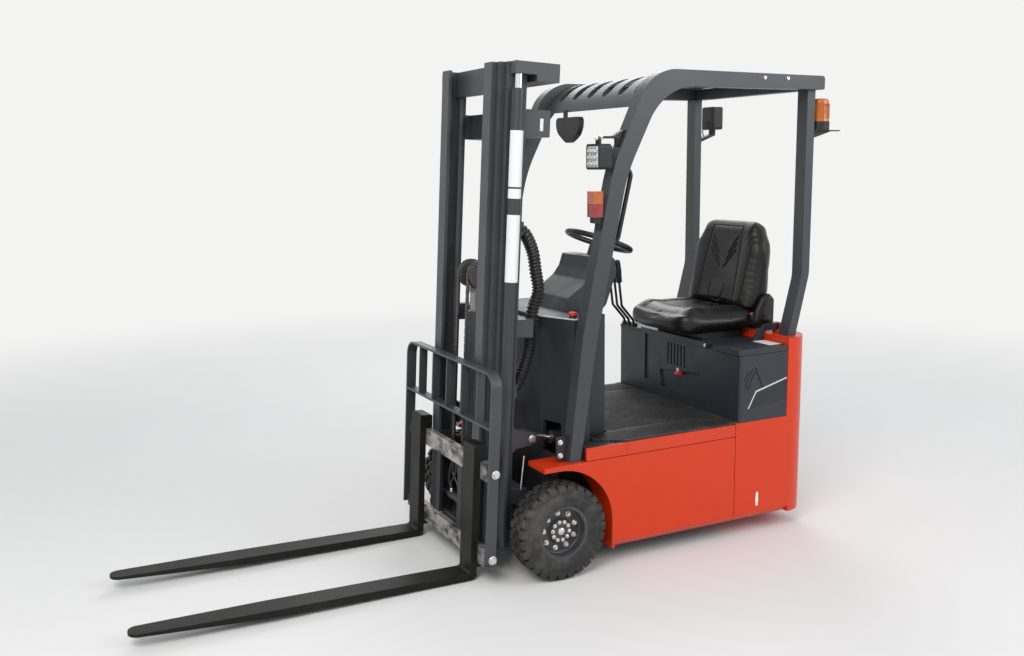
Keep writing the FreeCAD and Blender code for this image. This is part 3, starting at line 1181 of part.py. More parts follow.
def fork_frame():
    back = d.bar_front - d.bar_depth
    upper = d.bar_bottom + d.bar_pitch
    half = d.bar_half_length
    bars = [box(f"fork_bar_{index}", (back, d.bar_front), (-half, half), (low, low + d.bar_height))
            for index, low in enumerate((d.bar_bottom, upper))]
    struts = [box(f"fork_strut_{side + 1}", (back, back + 15), tuple(sorted((side * 90, side * 130))),
                  (d.bar_bottom + d.bar_height - 1, upper + 1)) for side in (1, -1)]
    node("side_shift_frame", fuse("side_shift_frame", bars + struts), MAST)
    inner = d.rest_half_width - d.rest_plate
    plate = d.rest_plate
    rest_back = d.rail_front + 6
    outer_loop = [(-d.rest_half_width, 85, 0), (-d.rest_half_width, d.rest_top, 60),
                  (d.rest_half_width, d.rest_top, 60), (d.rest_half_width, 85, 0),
                  (inner, 85, 0), (inner, d.rest_top - plate, 60 - plate),
                  (-inner, d.rest_top - plate, 60 - plate), (-inner, 85, 0)]
    hoop = pad("rest_hoop", "YZ", outer_loop, rest_back, "Sizes.rest_depth")
    cross = box("rest_cross", (rest_back, rest_back + d.rest_depth), (-inner - 1, inner + 1), (d.rest_bar, d.rest_bar + plate))
    bars = [box(f"rest_bar_{index}", (rest_back + 4, rest_back + d.rest_depth - 4), (y - 4, y + 4), (d.rest_bar + 1, d.rest_top - 1))
            for index, y in enumerate((-290, -145, 0, 145, 290))]
    brackets = []
    for side in (1, -1):
        for index, low in enumerate((d.bar_bottom + 10, upper + 10)):
            brackets.append(box(f"rest_bracket_{side + 1}_{index}", (back + 3, d.bar_front - 3),
                                tuple(sorted((side * half, side * (inner + 1)))), (low, low + 50)))
    node("load_backrest", fuse("load_backrest", [hoop, cross] + bars + brackets), MAST)


fork_frame()


def forks():
    top = d.bar_bottom + d.bar_pitch + d.bar_height
    low = d.bar_bottom
    back = SHANK_FRONT - d.fork_thickness
    hook = d.bar_front - d.bar_depth
    hook_top = top + 60
    taper = 0.4 * d.fork_length
    taper_drop = TIP_DROP * (1 - taper / d.fork_length)
    profile = pad("fork_side", "XZ", [
        (back, d.fork_bottom, d.fork_thickness - 3), (TIP - taper, d.fork_bottom - taper_drop, 0),
        (TIP, BLADE_TOP - TIP_DROP - TIP_NOSE, 0), (TIP, BLADE_TOP - TIP_DROP, 3), (SHANK_FRONT, BLADE_TOP, 12),
        (SHANK_FRONT, hook_top, 8), (hook, hook_top, 8), (hook, top + 0.3, 0), (back, top + 0.3, 0)],
        d.fork_centre + d.fork_width / 2, "Sizes.fork_width")
    half = d.fork_width / 2
    tip_half = d.fork_tip_width / 2
    plan = pad("fork_plan", "XY", [
        (hook - 1, d.fork_centre + half + 1, 0), (TIP - taper, d.fork_centre + half + 1, 0),
        (TIP + 0.3, d.fork_centre + tip_half, tip_half - 1), (TIP + 0.3, d.fork_centre - tip_half, tip_half - 1),
        (TIP - taper, d.fork_centre - half - 1, 0), (hook - 1, d.fork_centre - half - 1, 0)],
        d.fork_bottom - TIP_DROP - 10, hook_top - d.fork_bottom + TIP_DROP + 20)
    arm = named("Part::Common", "fork_arm")
    arm.Base = profile
    arm.Tool = plan
    lower_hook = box("fork_low_hook", (hook - 3, back + 1), (d.fork_centre - half + 8, d.fork_centre + half - 8),
                     (low - 22, low - 0.4))
    both_sides("fork", fuse("fork", [arm, lower_hook]), MAST)


forks()


# Tilt cylinders
def tilt_cylinders():
    front = Vector(d.tilt_front_x, d.tilt_y, d.tilt_front_z)
    rear = Vector(-d.tilt_rear_x, d.tilt_y, d.tilt_rear_z)
    run = front - rear
    turn = Rotation(Vector(0, 0, 1), run)
    line = Vector(run).normalize()
    barrel = rod("tilt_barrel", "Sizes.tilt_radius", 150, tuple(rear + line * 48), turn)
    shank = rod("tilt_shank", 12, 48, tuple(rear + line * 1), turn)
    rear_eye = rod("tilt_rear_eye", 22, 24, (rear.x, d.tilt_y - 12, rear.z), ALONG_Y)
    bore = rod("tilt_bore", "Sizes.tilt_rod_radius + Sizes.running_gap", 300, tuple(rear + line * 60), turn)
    rear_hole = rod("tilt_rear_hole", "Sizes.tilt_pin_radius + Sizes.running_gap", 60,
                    (rear.x, d.tilt_y - 30, rear.z), ALONG_Y)
    shell = cut("tilt_barrel_bored", fuse("tilt_barrel_blank", [barrel, shank, rear_eye]), [bore, rear_hole])
    both_sides("tilt_barrel", shell)
    rod_start = rear + line * 100
    piston = rod("tilt_piston", "Sizes.tilt_rod_radius", (front - rod_start).Length - 18, tuple(rod_start), turn)
    eye = rod("tilt_front_eye", 21, 24, (front.x, d.tilt_y - 12, front.z), ALONG_Y)
    hole = rod("tilt_front_hole", "Sizes.tilt_pin_radius + 2", 60, (front.x, d.tilt_y - 30, front.z), ALONG_Y)
    both_sides("tilt_rod", cut("tilt_rod", fuse("tilt_rod_blank", [piston, eye]), [hole]))


tilt_cylinders()

doc.recompute()
faults = []
for thing in doc.Objects:
    if "Invalid" in thing.State or "Error" in thing.State:
        faults.append(f"{thing.Name} {thing.State}")
for done in NODES:
    if done.Shape.isNull() or not done.Shape.isValid():
        faults.append(f"{done.Label} has no valid shape")
if faults:
    raise SystemExit("\n".join(faults))

os.makedirs("parts", exist_ok=True)
for done in NODES:
    done.Shape.exportStep(f"parts/{done.Label}.step")
box_all = Part.makeCompound([done.Shape for done in NODES]).BoundBox
print(len(NODES), "nodes", box_all)
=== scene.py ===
# %% [markdown]
# A compact three-wheel electric forklift.
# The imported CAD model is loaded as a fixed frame: its steel stays where it is, and this script
# gives every surface its finish and adds the rubber, upholstery, hoses, chains and small parts.

import json
import math

import bmesh
import bpy
from mathutils import Matrix, Vector


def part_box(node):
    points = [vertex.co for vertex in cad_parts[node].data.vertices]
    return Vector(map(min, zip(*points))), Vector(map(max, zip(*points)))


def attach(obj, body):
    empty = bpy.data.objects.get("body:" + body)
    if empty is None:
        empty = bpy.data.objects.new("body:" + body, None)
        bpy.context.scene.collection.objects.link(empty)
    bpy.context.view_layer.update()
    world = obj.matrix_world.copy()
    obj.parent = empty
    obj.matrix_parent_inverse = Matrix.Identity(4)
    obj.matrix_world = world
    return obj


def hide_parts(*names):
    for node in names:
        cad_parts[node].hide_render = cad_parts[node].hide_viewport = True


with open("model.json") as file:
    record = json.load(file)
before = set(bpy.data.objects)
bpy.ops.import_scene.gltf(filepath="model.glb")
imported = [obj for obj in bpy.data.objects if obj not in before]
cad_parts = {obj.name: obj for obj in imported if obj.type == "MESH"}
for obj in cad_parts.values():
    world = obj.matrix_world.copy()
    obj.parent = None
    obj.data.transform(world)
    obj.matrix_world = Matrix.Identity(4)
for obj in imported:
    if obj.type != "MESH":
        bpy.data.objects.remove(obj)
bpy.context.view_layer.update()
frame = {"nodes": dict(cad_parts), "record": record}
nodes = frame["nodes"]

# %% [markdown]
# Sizes are worked out from the frame, so that a piece always sits on what carries it.
# Lengths are in metres. The front axle is the zero line of the real truck's drawings,
# and the mast is drawn upright and then leant back, so two small helpers turn drawing
# positions into places in the scene.

# %% Places in the truck and on the leaning mast
MM = 0.001
AXLE_X = sum(corner[0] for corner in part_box("front_axle")) / 2
MAST_LEAN = math.radians(3.2)
LEAN_BACK = Matrix.Translation((AXLE_X, 0, 0)) @ Matrix.Rotation(-MAST_LEAN, 4, "Y")


def truck(x, y, z):
    """A place given in millimetres from the front axle line, on the ground."""
    return Vector((AXLE_X + x * MM, y * MM, z * MM))


def mast(u, y, s):
    """A place on the mast: u forward, y left and s up the rails, in millimetres."""
    return LEAN_BACK @ Vector((u * MM, y * MM, s * MM))


print("front axle at x", round(AXLE_X, 4))

# %% [markdown]
# The camera stands where the photographer stood: ahead of the truck, on its left, at eye height.
# Its place and lens were solved from the known outlines of the tyres, the guard and the forks.

# %% Camera
CAMERA_AZIMUTH = math.radians(152.98)
CAMERA_PITCH = math.radians(9.38)
CAMERA_ROLL = math.radians(-0.66)
forward = Vector((-math.sin(CAMERA_AZIMUTH) * math.cos(CAMERA_PITCH),
                  math.cos(CAMERA_AZIMUTH) * math.cos(CAMERA_PITCH), -math.sin(CAMERA_PITCH)))
level_right = forward.cross(Vector((0, 0, 1))).normalized()
level_up = level_right.cross(forward)
right = level_right * math.cos(CAMERA_ROLL) + level_up * math.sin(CAMERA_ROLL)
up = level_up * math.cos(CAMERA_ROLL) - level_right * math.sin(CAMERA_ROLL)
camera_data = bpy.data.cameras.new("camera")
camera_data.sensor_width = 36
camera_data.lens = 35.91
camera_data.clip_end = 60
camera = bpy.data.objects.new("camera", camera_data)
bpy.context.collection.objects.link(camera)
turn = Matrix((right, up, -forward)).transposed().to_4x4()
camera.matrix_world = Matrix.Translation(truck(1881.3, 3752.75, 1619.36)) @ turn
bpy.context.scene.camera = camera
print("camera at", [round(v, 2) for v in camera.matrix_world.translation])

# %% [markdown]
# The sky is pale and lights the truck a little from everywhere. What the camera sees of it, and
# what gloss and glass show, is a second, nearly white background, so that the picture's backdrop
# can be bright without putting more light on the truck.

# %% Backdrop
bpy.context.scene.view_settings.view_transform = "Standard"
world = bpy.data.worlds.new("studio")
bpy.context.scene.world = world
world.use_nodes = True
sky_nodes = world.node_tree.nodes
sky_links = world.node_tree.links
lit = sky_nodes["Background"]
lit.inputs["Color"].default_value = (0.86, 0.89, 0.93, 1)
lit.inputs["Strength"].default_value = 0.62
shown = sky_nodes.new("ShaderNodeBackground")
shown.inputs["Color"].default_value = (0.90, 0.90, 0.895, 1)
shown.inputs["Strength"].default_value = 1.0


def seen_rays(tree):
    """1 for the rays that see the backdrop: the camera's, gloss's and glass's; 0 for the rest."""
    path = tree.nodes.new("ShaderNodeLightPath")
    total = path.outputs["Is Camera Ray"]
    for kind in ("Is Glossy Ray", "Is Transmission Ray"):
        larger = tree.nodes.new("ShaderNodeMath")
        larger.operation = "MAXIMUM"
        tree.links.new(total, larger.inputs[0])
        tree.links.new(path.outputs[kind], larger.inputs[1])
        total = larger.outputs["Value"]
    return total


pick = sky_nodes.new("ShaderNodeMixShader")
sky_links.new(seen_rays(world.node_tree), pick.inputs["Fac"])
sky_links.new(lit.outputs["Background"], pick.inputs[1])
sky_links.new(shown.outputs["Background"], pick.inputs[2])
sky_links.new(pick.outputs["Shader"], sky_nodes["World Output"].inputs["Surface"])
print("backdrop", [round(v, 3) for v in shown.inputs["Color"].default_value[:3]])

# %% [markdown]
# Three large soft panels stand in for studio lamps: one from the front left, a weaker one from the
# left rear and one from the right rear for the edges. Large panels give soft shadows.
# A wide floor takes the truck's shadow.

# %% Lamps and floor
def soft_panel(name, place, aim, size, power, tint=(1, 1, 1)):
    """A rectangular lamp at place, turned towards aim, of so many watts."""
    data = bpy.data.lights.new(name, "AREA")
    data.shape = "RECTANGLE"
    data.size, data.size_y = size
    data.energy = power
    data.color = tint
    panel = bpy.data.objects.new(name, data)
    bpy.context.collection.objects.link(panel)
    direction = Vector(aim) - Vector(place)
    turned = direction.to_track_quat("-Z", "Y").to_matrix().to_4x4()
    panel.matrix_world = Matrix.Translation(place) @ turned


soft_panel("key_panel", (3.2, 3.4, 4.6), (0, 0, 0.8), (3.0, 3.0), 210, (1.0, 0.98, 0.95))
soft_panel("side_panel", (-3.6, 4.2, 3.2), (-0.4, 0, 0.9), (3.0, 2.4), 95, (0.95, 0.97, 1.0))
soft_panel("rim_panel", (-2.4, -4.2, 3.8), (0, 0, 1.0), (3.0, 2.4), 85)
FLOOR_REACH = 30
corners = [(x * FLOOR_REACH, y * FLOOR_REACH, 0) for x, y in ((-1, -1), (1, -1), (1, 1), (-1, 1))]
floor_mesh = bpy.data.meshes.new("floor")
floor_mesh.from_pydata(corners, [], [(0, 1, 2, 3)])
floor = bpy.data.objects.new("floor", floor_mesh)
bpy.context.collection.objects.link(floor)
print("lamps", [lamp.name for lamp in bpy.data.lights])

# %% [markdown]
# Finishes are small node trees on Object coordinates, in metres. Most start from the same three
# ideas: a colour that drifts a little over a panel, a fine bump for the paint or the moulding
# grain, and a Bevel node, which rounds the light on every machined edge without new geometry.

# %% Finish helpers
def new_finish(name):
    """A new material, its node tree and its shader node."""
    finish = bpy.data.materials.new(name)
    finish.use_nodes = True
    tree = finish.node_tree
    return finish, tree, tree.nodes["Principled BSDF"]


def coordinates(tree):
    """Places on the object itself, in metres, so that a pattern rides along with its piece."""
    return tree.nodes.new("ShaderNodeTexCoord").outputs["Object"]


def noise(tree, scale, detail=4.0, rough=0.55, stretch=None):
    """A noise value; stretch gives the pattern a direction."""
    grain = tree.nodes.new("ShaderNodeTexNoise")
    grain.inputs["Scale"].default_value = scale
    grain.inputs["Detail"].default_value = detail
    grain.inputs["Roughness"].default_value = rough
    source = coordinates(tree)
    if stretch is not None:
        mapping = tree.nodes.new("ShaderNodeMapping")
        mapping.inputs["Scale"].default_value = stretch
        tree.links.new(source, mapping.inputs["Vector"])
        source = mapping.outputs["Vector"]
    tree.links.new(source, grain.inputs["Vector"])
    return grain.outputs["Fac"]


def ramp(tree, value, low, high, start=0.0, end=1.0):
    """value from low to high, remapped to start to end."""
    fit = tree.nodes.new("ShaderNodeMapRange")
    for socket, number in (("From Min", low), ("From Max", high), ("To Min", start), ("To Max", end)):
        fit.inputs[socket].default_value = number
    tree.links.new(value, fit.inputs["Value"])
    return fit.outputs["Result"]


def blend(tree, share, first, second):
    """A colour between two, each a colour or another node's output."""
    mix = tree.nodes.new("ShaderNodeMix")
    mix.data_type = "RGBA"
    tree.links.new(share, mix.inputs["Factor"])
    for socket, colour in ((mix.inputs["A"], first), (mix.inputs["B"], second)):
        if hasattr(colour, "is_output"):
            tree.links.new(colour, socket)
        else:
            socket.default_value = (*colour, 1)
    return mix.outputs["Result"]


def times(tree, first, second):
    """The product of two values, each a number or another node's output."""
    product = tree.nodes.new("ShaderNodeMath")
    product.operation = "MULTIPLY"
    for socket, value in zip(product.inputs, (first, second)):
        if hasattr(value, "is_output"):
            tree.links.new(value, socket)
        else:
            socket.default_value = value
    return product.outputs["Value"]


def shade(colour, factor):
    """The colour made lighter or darker by a factor."""
    return tuple(min(1.0, channel * factor) for channel in colour)


print("node helpers ready")

# %% [markdown]
# No edge of a real part is perfectly sharp. The Bevel node bends the normals near an edge, so that
# it catches light as a rounded one does. The same node finds the edges, where paint wears first.

# %% Edges and bumps
def rounded_bump(tree, shader, height, distance, edge=0.002):
    """A bump over softened edges; height may be None for smooth stock."""
    soft = tree.nodes.new("ShaderNodeBevel")
    soft.samples = 4
    soft.inputs["Radius"].default_value = edge
    normal = soft.outputs["Normal"]
    if height is not None:
        bump = tree.nodes.new("ShaderNodeBump")
        bump.inputs["Strength"].default_value = 1.0
        bump.inputs["Distance"].default_value = distance
        tree.links.new(height, bump.inputs["Height"])
        tree.links.new(normal, bump.inputs["Normal"])
        normal = bump.outputs["Normal"]
    tree.links.new(normal, shader.inputs["Normal"])
    return soft.outputs["Normal"]


def edge_mask(tree, softened, width=0.06):
    """Bright along edges: where the softened normal leaves the true one."""
    geometry = tree.nodes.new("ShaderNodeNewGeometry")
    dot = tree.nodes.new("ShaderNodeVectorMath")
    dot.operation = "DOT_PRODUCT"
    tree.links.new(softened, dot.inputs[0])
    tree.links.new(geometry.outputs["Normal"], dot.inputs[1])
    return ramp(tree, dot.outputs["Value"], 1.0 - width * 0.2, 1.0 - width)


print("edge helpers ready")

# %% [markdown]
# Sprayed steel: two close shades drift over the panel, faint scuffs lighten its edges,
# and a very fine orange peel breaks up the reflections.

# %% Paints
def paint(name, colour, roughness=0.38, drift=0.9, wear=0.35, wear_colour=None, dust=0.0, edge=0.0025):
    """Sprayed paint; drift is its darker shade, wear its scuffed edges and dust its grey film."""
    finish, tree, shader = new_finish(name)
    base = blend(tree, ramp(tree, noise(tree, 2.3, 3), 0.15, 0.85), colour, shade(colour, drift))
    softened = rounded_bump(tree, shader, noise(tree, 620, 2), 0.00006, edge)
    if wear:
        scuffs = ramp(tree, noise(tree, 34, 6, 0.7), 0.46, 0.62, 0, wear)
        share = times(tree, edge_mask(tree, softened), scuffs)
        base = blend(tree, share, base, wear_colour or shade(colour, 1.9))
    if dust:
        film = ramp(tree, noise(tree, 7.5, 8, 0.68), 0.45, 0.78, 0, dust)
        base = blend(tree, film, base, PAINT_DUST)
    tree.links.new(base, shader.inputs["Base Color"])
    gloss = ramp(tree, noise(tree, 5.5, 3), 0.1, 0.9, roughness - 0.05, roughness + 0.1)
    tree.links.new(gloss, shader.inputs["Roughness"])
    shader.inputs["Specular IOR Level"].default_value = 0.5
    return finish


PAINT_DUST = (0.34, 0.32, 0.29)
RED = (0.64, 0.038, 0.003)
GUARD_GREY = (0.042, 0.045, 0.053)
finishes = {
    "body_red": paint("body_red", RED, 0.30, 0.95, 0),
    "guard_grey": paint("guard_grey", GUARD_GREY, 0.38, 0.9, 0.3, (0.13, 0.135, 0.15)),
    "mast_grey": paint("mast_grey", (0.046, 0.049, 0.058), 0.42, 0.84, 0.5, (0.20, 0.20, 0.21), dust=0.06),
    "frame_black": paint("frame_black", (0.016, 0.016, 0.018), 0.45, 0.8, 0.4, (0.10, 0.10, 0.10),
                         dust=0.10),
    "rim_dark": paint("rim_dark", (0.035, 0.037, 0.042), 0.42, 0.85, 0.35, (0.14, 0.14, 0.14), dust=0.2),
    "fork_black": paint("fork_black", (0.0085, 0.008, 0.0075), 0.46, 0.75, 0.6, (0.11, 0.10, 0.095),
                        dust=0.03),
}
print("paints", sorted(finishes))

# %% [markdown]
# Moulded plastic and rubber. A pebbled grain keeps the sheen broad, the colour hardly changes over
# a part, and rubber near the ground carries a film of dust, which is a third colour laid over the
# others by one more noise.

# %% Plastics and rubber
RUBBER_DUST = (0.30, 0.28, 0.25)


def moulded(name, colour, roughness=0.5, grain=900, depth=0.00010, dust=0.0, edge=0.003):
    """Moulded plastic or rubber, with a pebbled grain of the given scale and depth."""
    finish, tree, shader = new_finish(name)
    base = blend(tree, ramp(tree, noise(tree, 3.1, 4), 0.3, 0.7), shade(colour, 1.06), shade(colour, 0.92))
    if dust:
        film = ramp(tree, noise(tree, 9, 8, 0.7), 0.48, 0.8, 0, dust)
        base = blend(tree, film, base, RUBBER_DUST)
    rounded_bump(tree, shader, noise(tree, grain, 3, 0.6), depth, edge)
    tree.links.new(base, shader.inputs["Base Color"])
    tree.links.new(ramp(tree, noise(tree, 12, 5), 0.3, 0.7, roughness - 0.06, roughness + 0.08),
                   shader.inputs["Roughness"])
    return finish


finishes["cowl_grey"] = moulded("cowl_grey", (0.019, 0.022, 0.027), 0.46, dust=0.03)
finishes["housing_grey"] = moulded("housing_grey", (0.018, 0.022, 0.031), 0.42, dust=0.02)
finishes["black_plastic"] = moulded("black_plastic", (0.012, 0.012, 0.013), 0.40, 1100, 0.00005)
finishes["mat_rubber"] = moulded("mat_rubber", (0.017, 0.017, 0.018), 0.62, 1400, 0.00008, dust=0.22)
finishes["tyre"] = moulded("tyre", (0.017, 0.0165, 0.0165), 0.66, 520, 0.00014, dust=0.30, edge=0.004)
finishes["battery"] = paint("battery", (0.05, 0.05, 0.055), 0.5)
print("finishes so far", len(finishes))

# %% [markdown]
# Bare and plated steel. Rolled bars carry long scratches along their length; a ground rod is
# nearly a mirror, with the faintest rings from its grinding wheel. The lines are one noise,
# stretched by a Mapping node, which costs less than drawn lines and never repeats.

# %% Metals
STAIN = (0.10, 0.065, 0.04)


def bare_metal(name, colour, roughness, scratch=(4, 60, 60), strength=0.5, stain=0.3):
    """Bare metal; scratch stretches its lines, strength deepens them and stain browns it."""
    finish, tree, shader = new_finish(name)
    lines = noise(tree, 9, 8, 0.7, stretch=scratch)
    stains = ramp(tree, noise(tree, 6, 7, 0.65), 0.5, 0.75, 0, stain)
    base = blend(tree, stains, colour, STAIN)
    rounded_bump(tree, shader, lines, 0.0001 * strength, 0.002)
    tree.links.new(base, shader.inputs["Base Color"])
    gloss = ramp(tree, lines, 0.3, 0.7, roughness - 0.1, roughness + 0.16)
    tree.links.new(gloss, shader.inputs["Roughness"])
    shader.inputs["Metallic"].default_value = 1.0
    return finish


finishes["bare_steel"] = bare_metal("bare_steel", (0.33, 0.32, 0.31), 0.42, (60, 3, 60))
finishes["chrome_rod"] = bare_metal("chrome_rod", (0.75, 0.76, 0.78), 0.14, (40, 40, 500), 0.1, 0.05)
finishes["mirror_glass"] = bare_metal("mirror_glass", (0.80, 0.82, 0.84), 0.12, (3, 3, 3), 0.02, 0.0)
print("metals", [name for name in finishes if name in ("bare_steel", "chrome_rod", "mirror_glass")])

# %% [markdown]
# The beacon's lens is tinted plastic under a hard, clear coat. Real lenses let light through;
# here the colour is solid, because nothing inside is seen and it renders without noise.

# %% Beacon lens and sheen levels
def lens(name, colour, roughness, ripple):
    """A coloured lens whose surface ripples by ripple metres."""
    finish, tree, shader = new_finish(name)
    shader.inputs["Base Color"].default_value = (*colour, 1)
    shader.inputs["Roughness"].default_value = roughness
    shader.inputs["Coat Weight"].default_value = 0.6
    rounded_bump(tree, shader, noise(tree, 260, 1), ripple, 0.002)
    return finish


finishes["amber_lens"] = lens("amber_lens", (0.52, 0.125, 0.006), 0.16, 0.0002)
finishes["counterweight_red"] = finishes["body_red"]
finishes["seat_vinyl"] = moulded("seat_vinyl", (0.0085, 0.0082, 0.0080), 0.36, 700, 0.00012)
SHEEN_LEVELS = {"seat_vinyl": 0.34, "fork_black": 0.2, "body_red": 0.4, "black_plastic": 0.4}
for name, level in SHEEN_LEVELS.items():
    finishes[name].node_tree.nodes["Principled BSDF"].inputs["Specular IOR Level"].default_value = level
print("sheen", SHEEN_LEVELS)

# %% [markdown]
# The deck plate is dark between the side frames and red at its two edges. It is one solid in the
# CAD model, so the finish splits it by place: the distance from the middle picks the colour.

# %% Two-tone deck
DECK_GREY = (0.020, 0.020, 0.021)
DECK_RED_FROM = 0.4522


def by_place(name, axis, low, high, inside, outside, roughness=0.42, soft=0.0004):
    """One colour where |coordinate| on the axis lies between low and high, another elsewhere."""
    finish, tree, shader = new_finish(name)
    parts = tree.nodes.new("ShaderNodeSeparateXYZ")
    tree.links.new(coordinates(tree), parts.inputs["Vector"])
    size = tree.nodes.new("ShaderNodeMath")
    size.operation = "ABSOLUTE"
    tree.links.new(parts.outputs[axis], size.inputs[0])
    share = times(tree, ramp(tree, size.outputs["Value"], low - soft, low + soft),
                  ramp(tree, size.outputs["Value"], high + soft, high - soft))
    drift = ramp(tree, noise(tree, 3, 5), 0.3, 0.7)
    pair = [blend(tree, drift, colour, shade(colour, 0.9)) for colour in (outside, inside)]
    tree.links.new(blend(tree, share, *pair), shader.inputs["Base Color"])
    rounded_bump(tree, shader, noise(tree, 620, 2), 0.00006, 0.0025)
    shader.inputs["Roughness"].default_value = roughness
    return finish


finishes["deck_grey"] = by_place("deck_two_tone", "Y", DECK_RED_FROM, 1.0, RED, DECK_GREY)
print("deck turns red at", DECK_RED_FROM)

# %% [markdown]
# Every solid of the frame names the finish it was planned with. One loop looks it up and puts it
# on the solid, whose mesh stays exactly as the CAD model made it.

# %% Give every CAD node its finish
slot_of = {entry["node"]: entry["material_slot"] for entry in frame["record"]["subparts"]}
for name, piece in nodes.items():
    finish = finishes.get(slot_of[name], finishes["frame_black"])
    piece.data.materials.clear()
    piece.data.materials.append(finish)
print("finished nodes", len(nodes))

# %% [markdown]
# The floor is matt and pale, and keeps the truck's shadow. Further out it fades into the colour
# of the backdrop, for the camera, for gloss and for glass alone, so that no horizon line shows.

# %% Floor finish
FADE_FROM, FADE_TO = 2.2, 7.5
floor_finish, floor_tree, floor_shader = new_finish("floor_pale")
near_floor = blend(floor_tree, ramp(floor_tree, noise(floor_tree, 0.8, 3), 0.3, 0.7),
                   (0.78, 0.775, 0.765), (0.76, 0.755, 0.745))
floor_tree.links.new(near_floor, floor_shader.inputs["Base Color"])
floor_shader.inputs["Roughness"].default_value = 0.85
reach = floor_tree.nodes.new("ShaderNodeVectorMath")
reach.operation = "LENGTH"
floor_tree.links.new(coordinates(floor_tree), reach.inputs[0])
far = ramp(floor_tree, reach.outputs["Value"], FADE_FROM, FADE_TO)
far.node.interpolation_type = "SMOOTHSTEP"
fade = times(floor_tree, far, seen_rays(floor_tree))
glow = floor_tree.nodes.new("ShaderNodeEmission")
glow.inputs["Color"].default_value = shown.inputs["Color"].default_value
joint = floor_tree.nodes.new("ShaderNodeMixShader")
floor_tree.links.new(fade, joint.inputs["Fac"])
floor_tree.links.new(floor_shader.outputs["BSDF"], joint.inputs[1])
floor_tree.links.new(glow.outputs["Emission"], joint.inputs[2])
floor_tree.links.new(joint.outputs["Shader"], floor_tree.nodes["Material Output"].inputs["Surface"])
floor.data.materials.append(floor_finish)
print("floor fades from", FADE_FROM, "to", FADE_TO, "m")

# %% [markdown]
# Things that repeat are made by Geometry Nodes: one small mesh is copied along a rule, and the
# rule's numbers stay named inputs. Two rules cover most of the truck: a ring round an axle
# and a straight row.

# %% Rules for repeats
INSTANCE_TREES = {}


def empty_tree(name, numbers):
    """A modifier tree with a geometry input and output and the given named inputs."""
    tree = bpy.data.node_groups.new(name, "GeometryNodeTree")
    face = tree.interface
    face.new_socket("Geometry", in_out="INPUT", socket_type="NodeSocketGeometry")
    face.new_socket("Geometry", in_out="OUTPUT", socket_type="NodeSocketGeometry")
    for label, kind, value in numbers:
        socket = face.new_socket(label, in_out="INPUT", socket_type="NodeSocket" + kind)
        if value is not None:
            socket.default_value = value
    start = tree.nodes.new("NodeGroupInput")
    end = tree.nodes.new("NodeGroupOutput")
    return tree, start, end


def finish_tree(tree, start, end, instances):
    """Realize the instances, give them the finish, and send them out."""
    solid = tree.nodes.new("GeometryNodeRealizeInstances")
    coat = tree.nodes.new("GeometryNodeSetMaterial")
    tree.links.new(instances, solid.inputs["Geometry"])
    tree.links.new(solid.outputs["Geometry"], coat.inputs["Geometry"])
    tree.links.new(start.outputs["Finish"], coat.inputs["Material"])
    tree.links.new(coat.outputs["Geometry"], end.inputs["Geometry"])


print("tree frame ready")

# %% [markdown]
# The ring rule stacks all its points at the centre and turns each copy by its number times one
# pitch. The pattern is drawn at its own distance from the axis, so no radius is needed.

# %% Ring rule
def ring_tree():
    """Copies round the Y axis, one pitch apart."""
    tree, start, end = empty_tree("ring_round_axle", [
        ("Count", "Int", 12), ("Turn", "Float", 0.0), ("Finish", "Material", None)])
    points = tree.nodes.new("GeometryNodeMeshLine")
    points.inputs["Offset"].default_value = (0, 0, 0)
    tree.links.new(start.outputs["Count"], points.inputs["Count"])
    index = tree.nodes.new("GeometryNodeInputIndex")
    pitch = tree.nodes.new("ShaderNodeMath")
    pitch.operation = "DIVIDE"
    pitch.inputs[0].default_value = math.tau
    tree.links.new(start.outputs["Count"], pitch.inputs[1])
    angle = tree.nodes.new("ShaderNodeMath")
    angle.operation = "MULTIPLY_ADD"
    tree.links.new(index.outputs["Index"], angle.inputs[0])
    tree.links.new(pitch.outputs["Value"], angle.inputs[1])
    tree.links.new(start.outputs["Turn"], angle.inputs[2])
    spin = tree.nodes.new("ShaderNodeCombineXYZ")
    tree.links.new(angle.outputs["Value"], spin.inputs["Y"])
    copies = tree.nodes.new("GeometryNodeInstanceOnPoints")
    tree.links.new(points.outputs["Mesh"], copies.inputs["Points"])
    tree.links.new(start.outputs["Geometry"], copies.inputs["Instance"])
    tree.links.new(spin.outputs["Vector"], copies.inputs["Rotation"])
    finish_tree(tree, start, end, copies.outputs["Instances"])
    return tree


INSTANCE_TREES["ring"] = ring_tree()
print("rules", sorted(INSTANCE_TREES))

# %% [markdown]
# The row rule sets its points one step apart. Its helper, repeat, hangs the rule on a mesh, sets
# the inputs by their sockets' identifiers and returns the plain mesh that comes out.

# %% Row rule and its use
def row_tree():
    """Copies in a straight row, one step apart."""
    tree, start, end = empty_tree("straight_row", [
        ("Count", "Int", 4), ("Step", "Vector", (0.1, 0, 0)), ("Finish", "Material", None)])
    points = tree.nodes.new("GeometryNodeMeshLine")
    tree.links.new(start.outputs["Count"], points.inputs["Count"])
    tree.links.new(start.outputs["Step"], points.inputs["Offset"])
    copies = tree.nodes.new("GeometryNodeInstanceOnPoints")
    tree.links.new(points.outputs["Mesh"], copies.inputs["Points"])
    tree.links.new(start.outputs["Geometry"], copies.inputs["Instance"])
    finish_tree(tree, start, end, copies.outputs["Instances"])
    return tree


INSTANCE_TREES["row"] = row_tree()


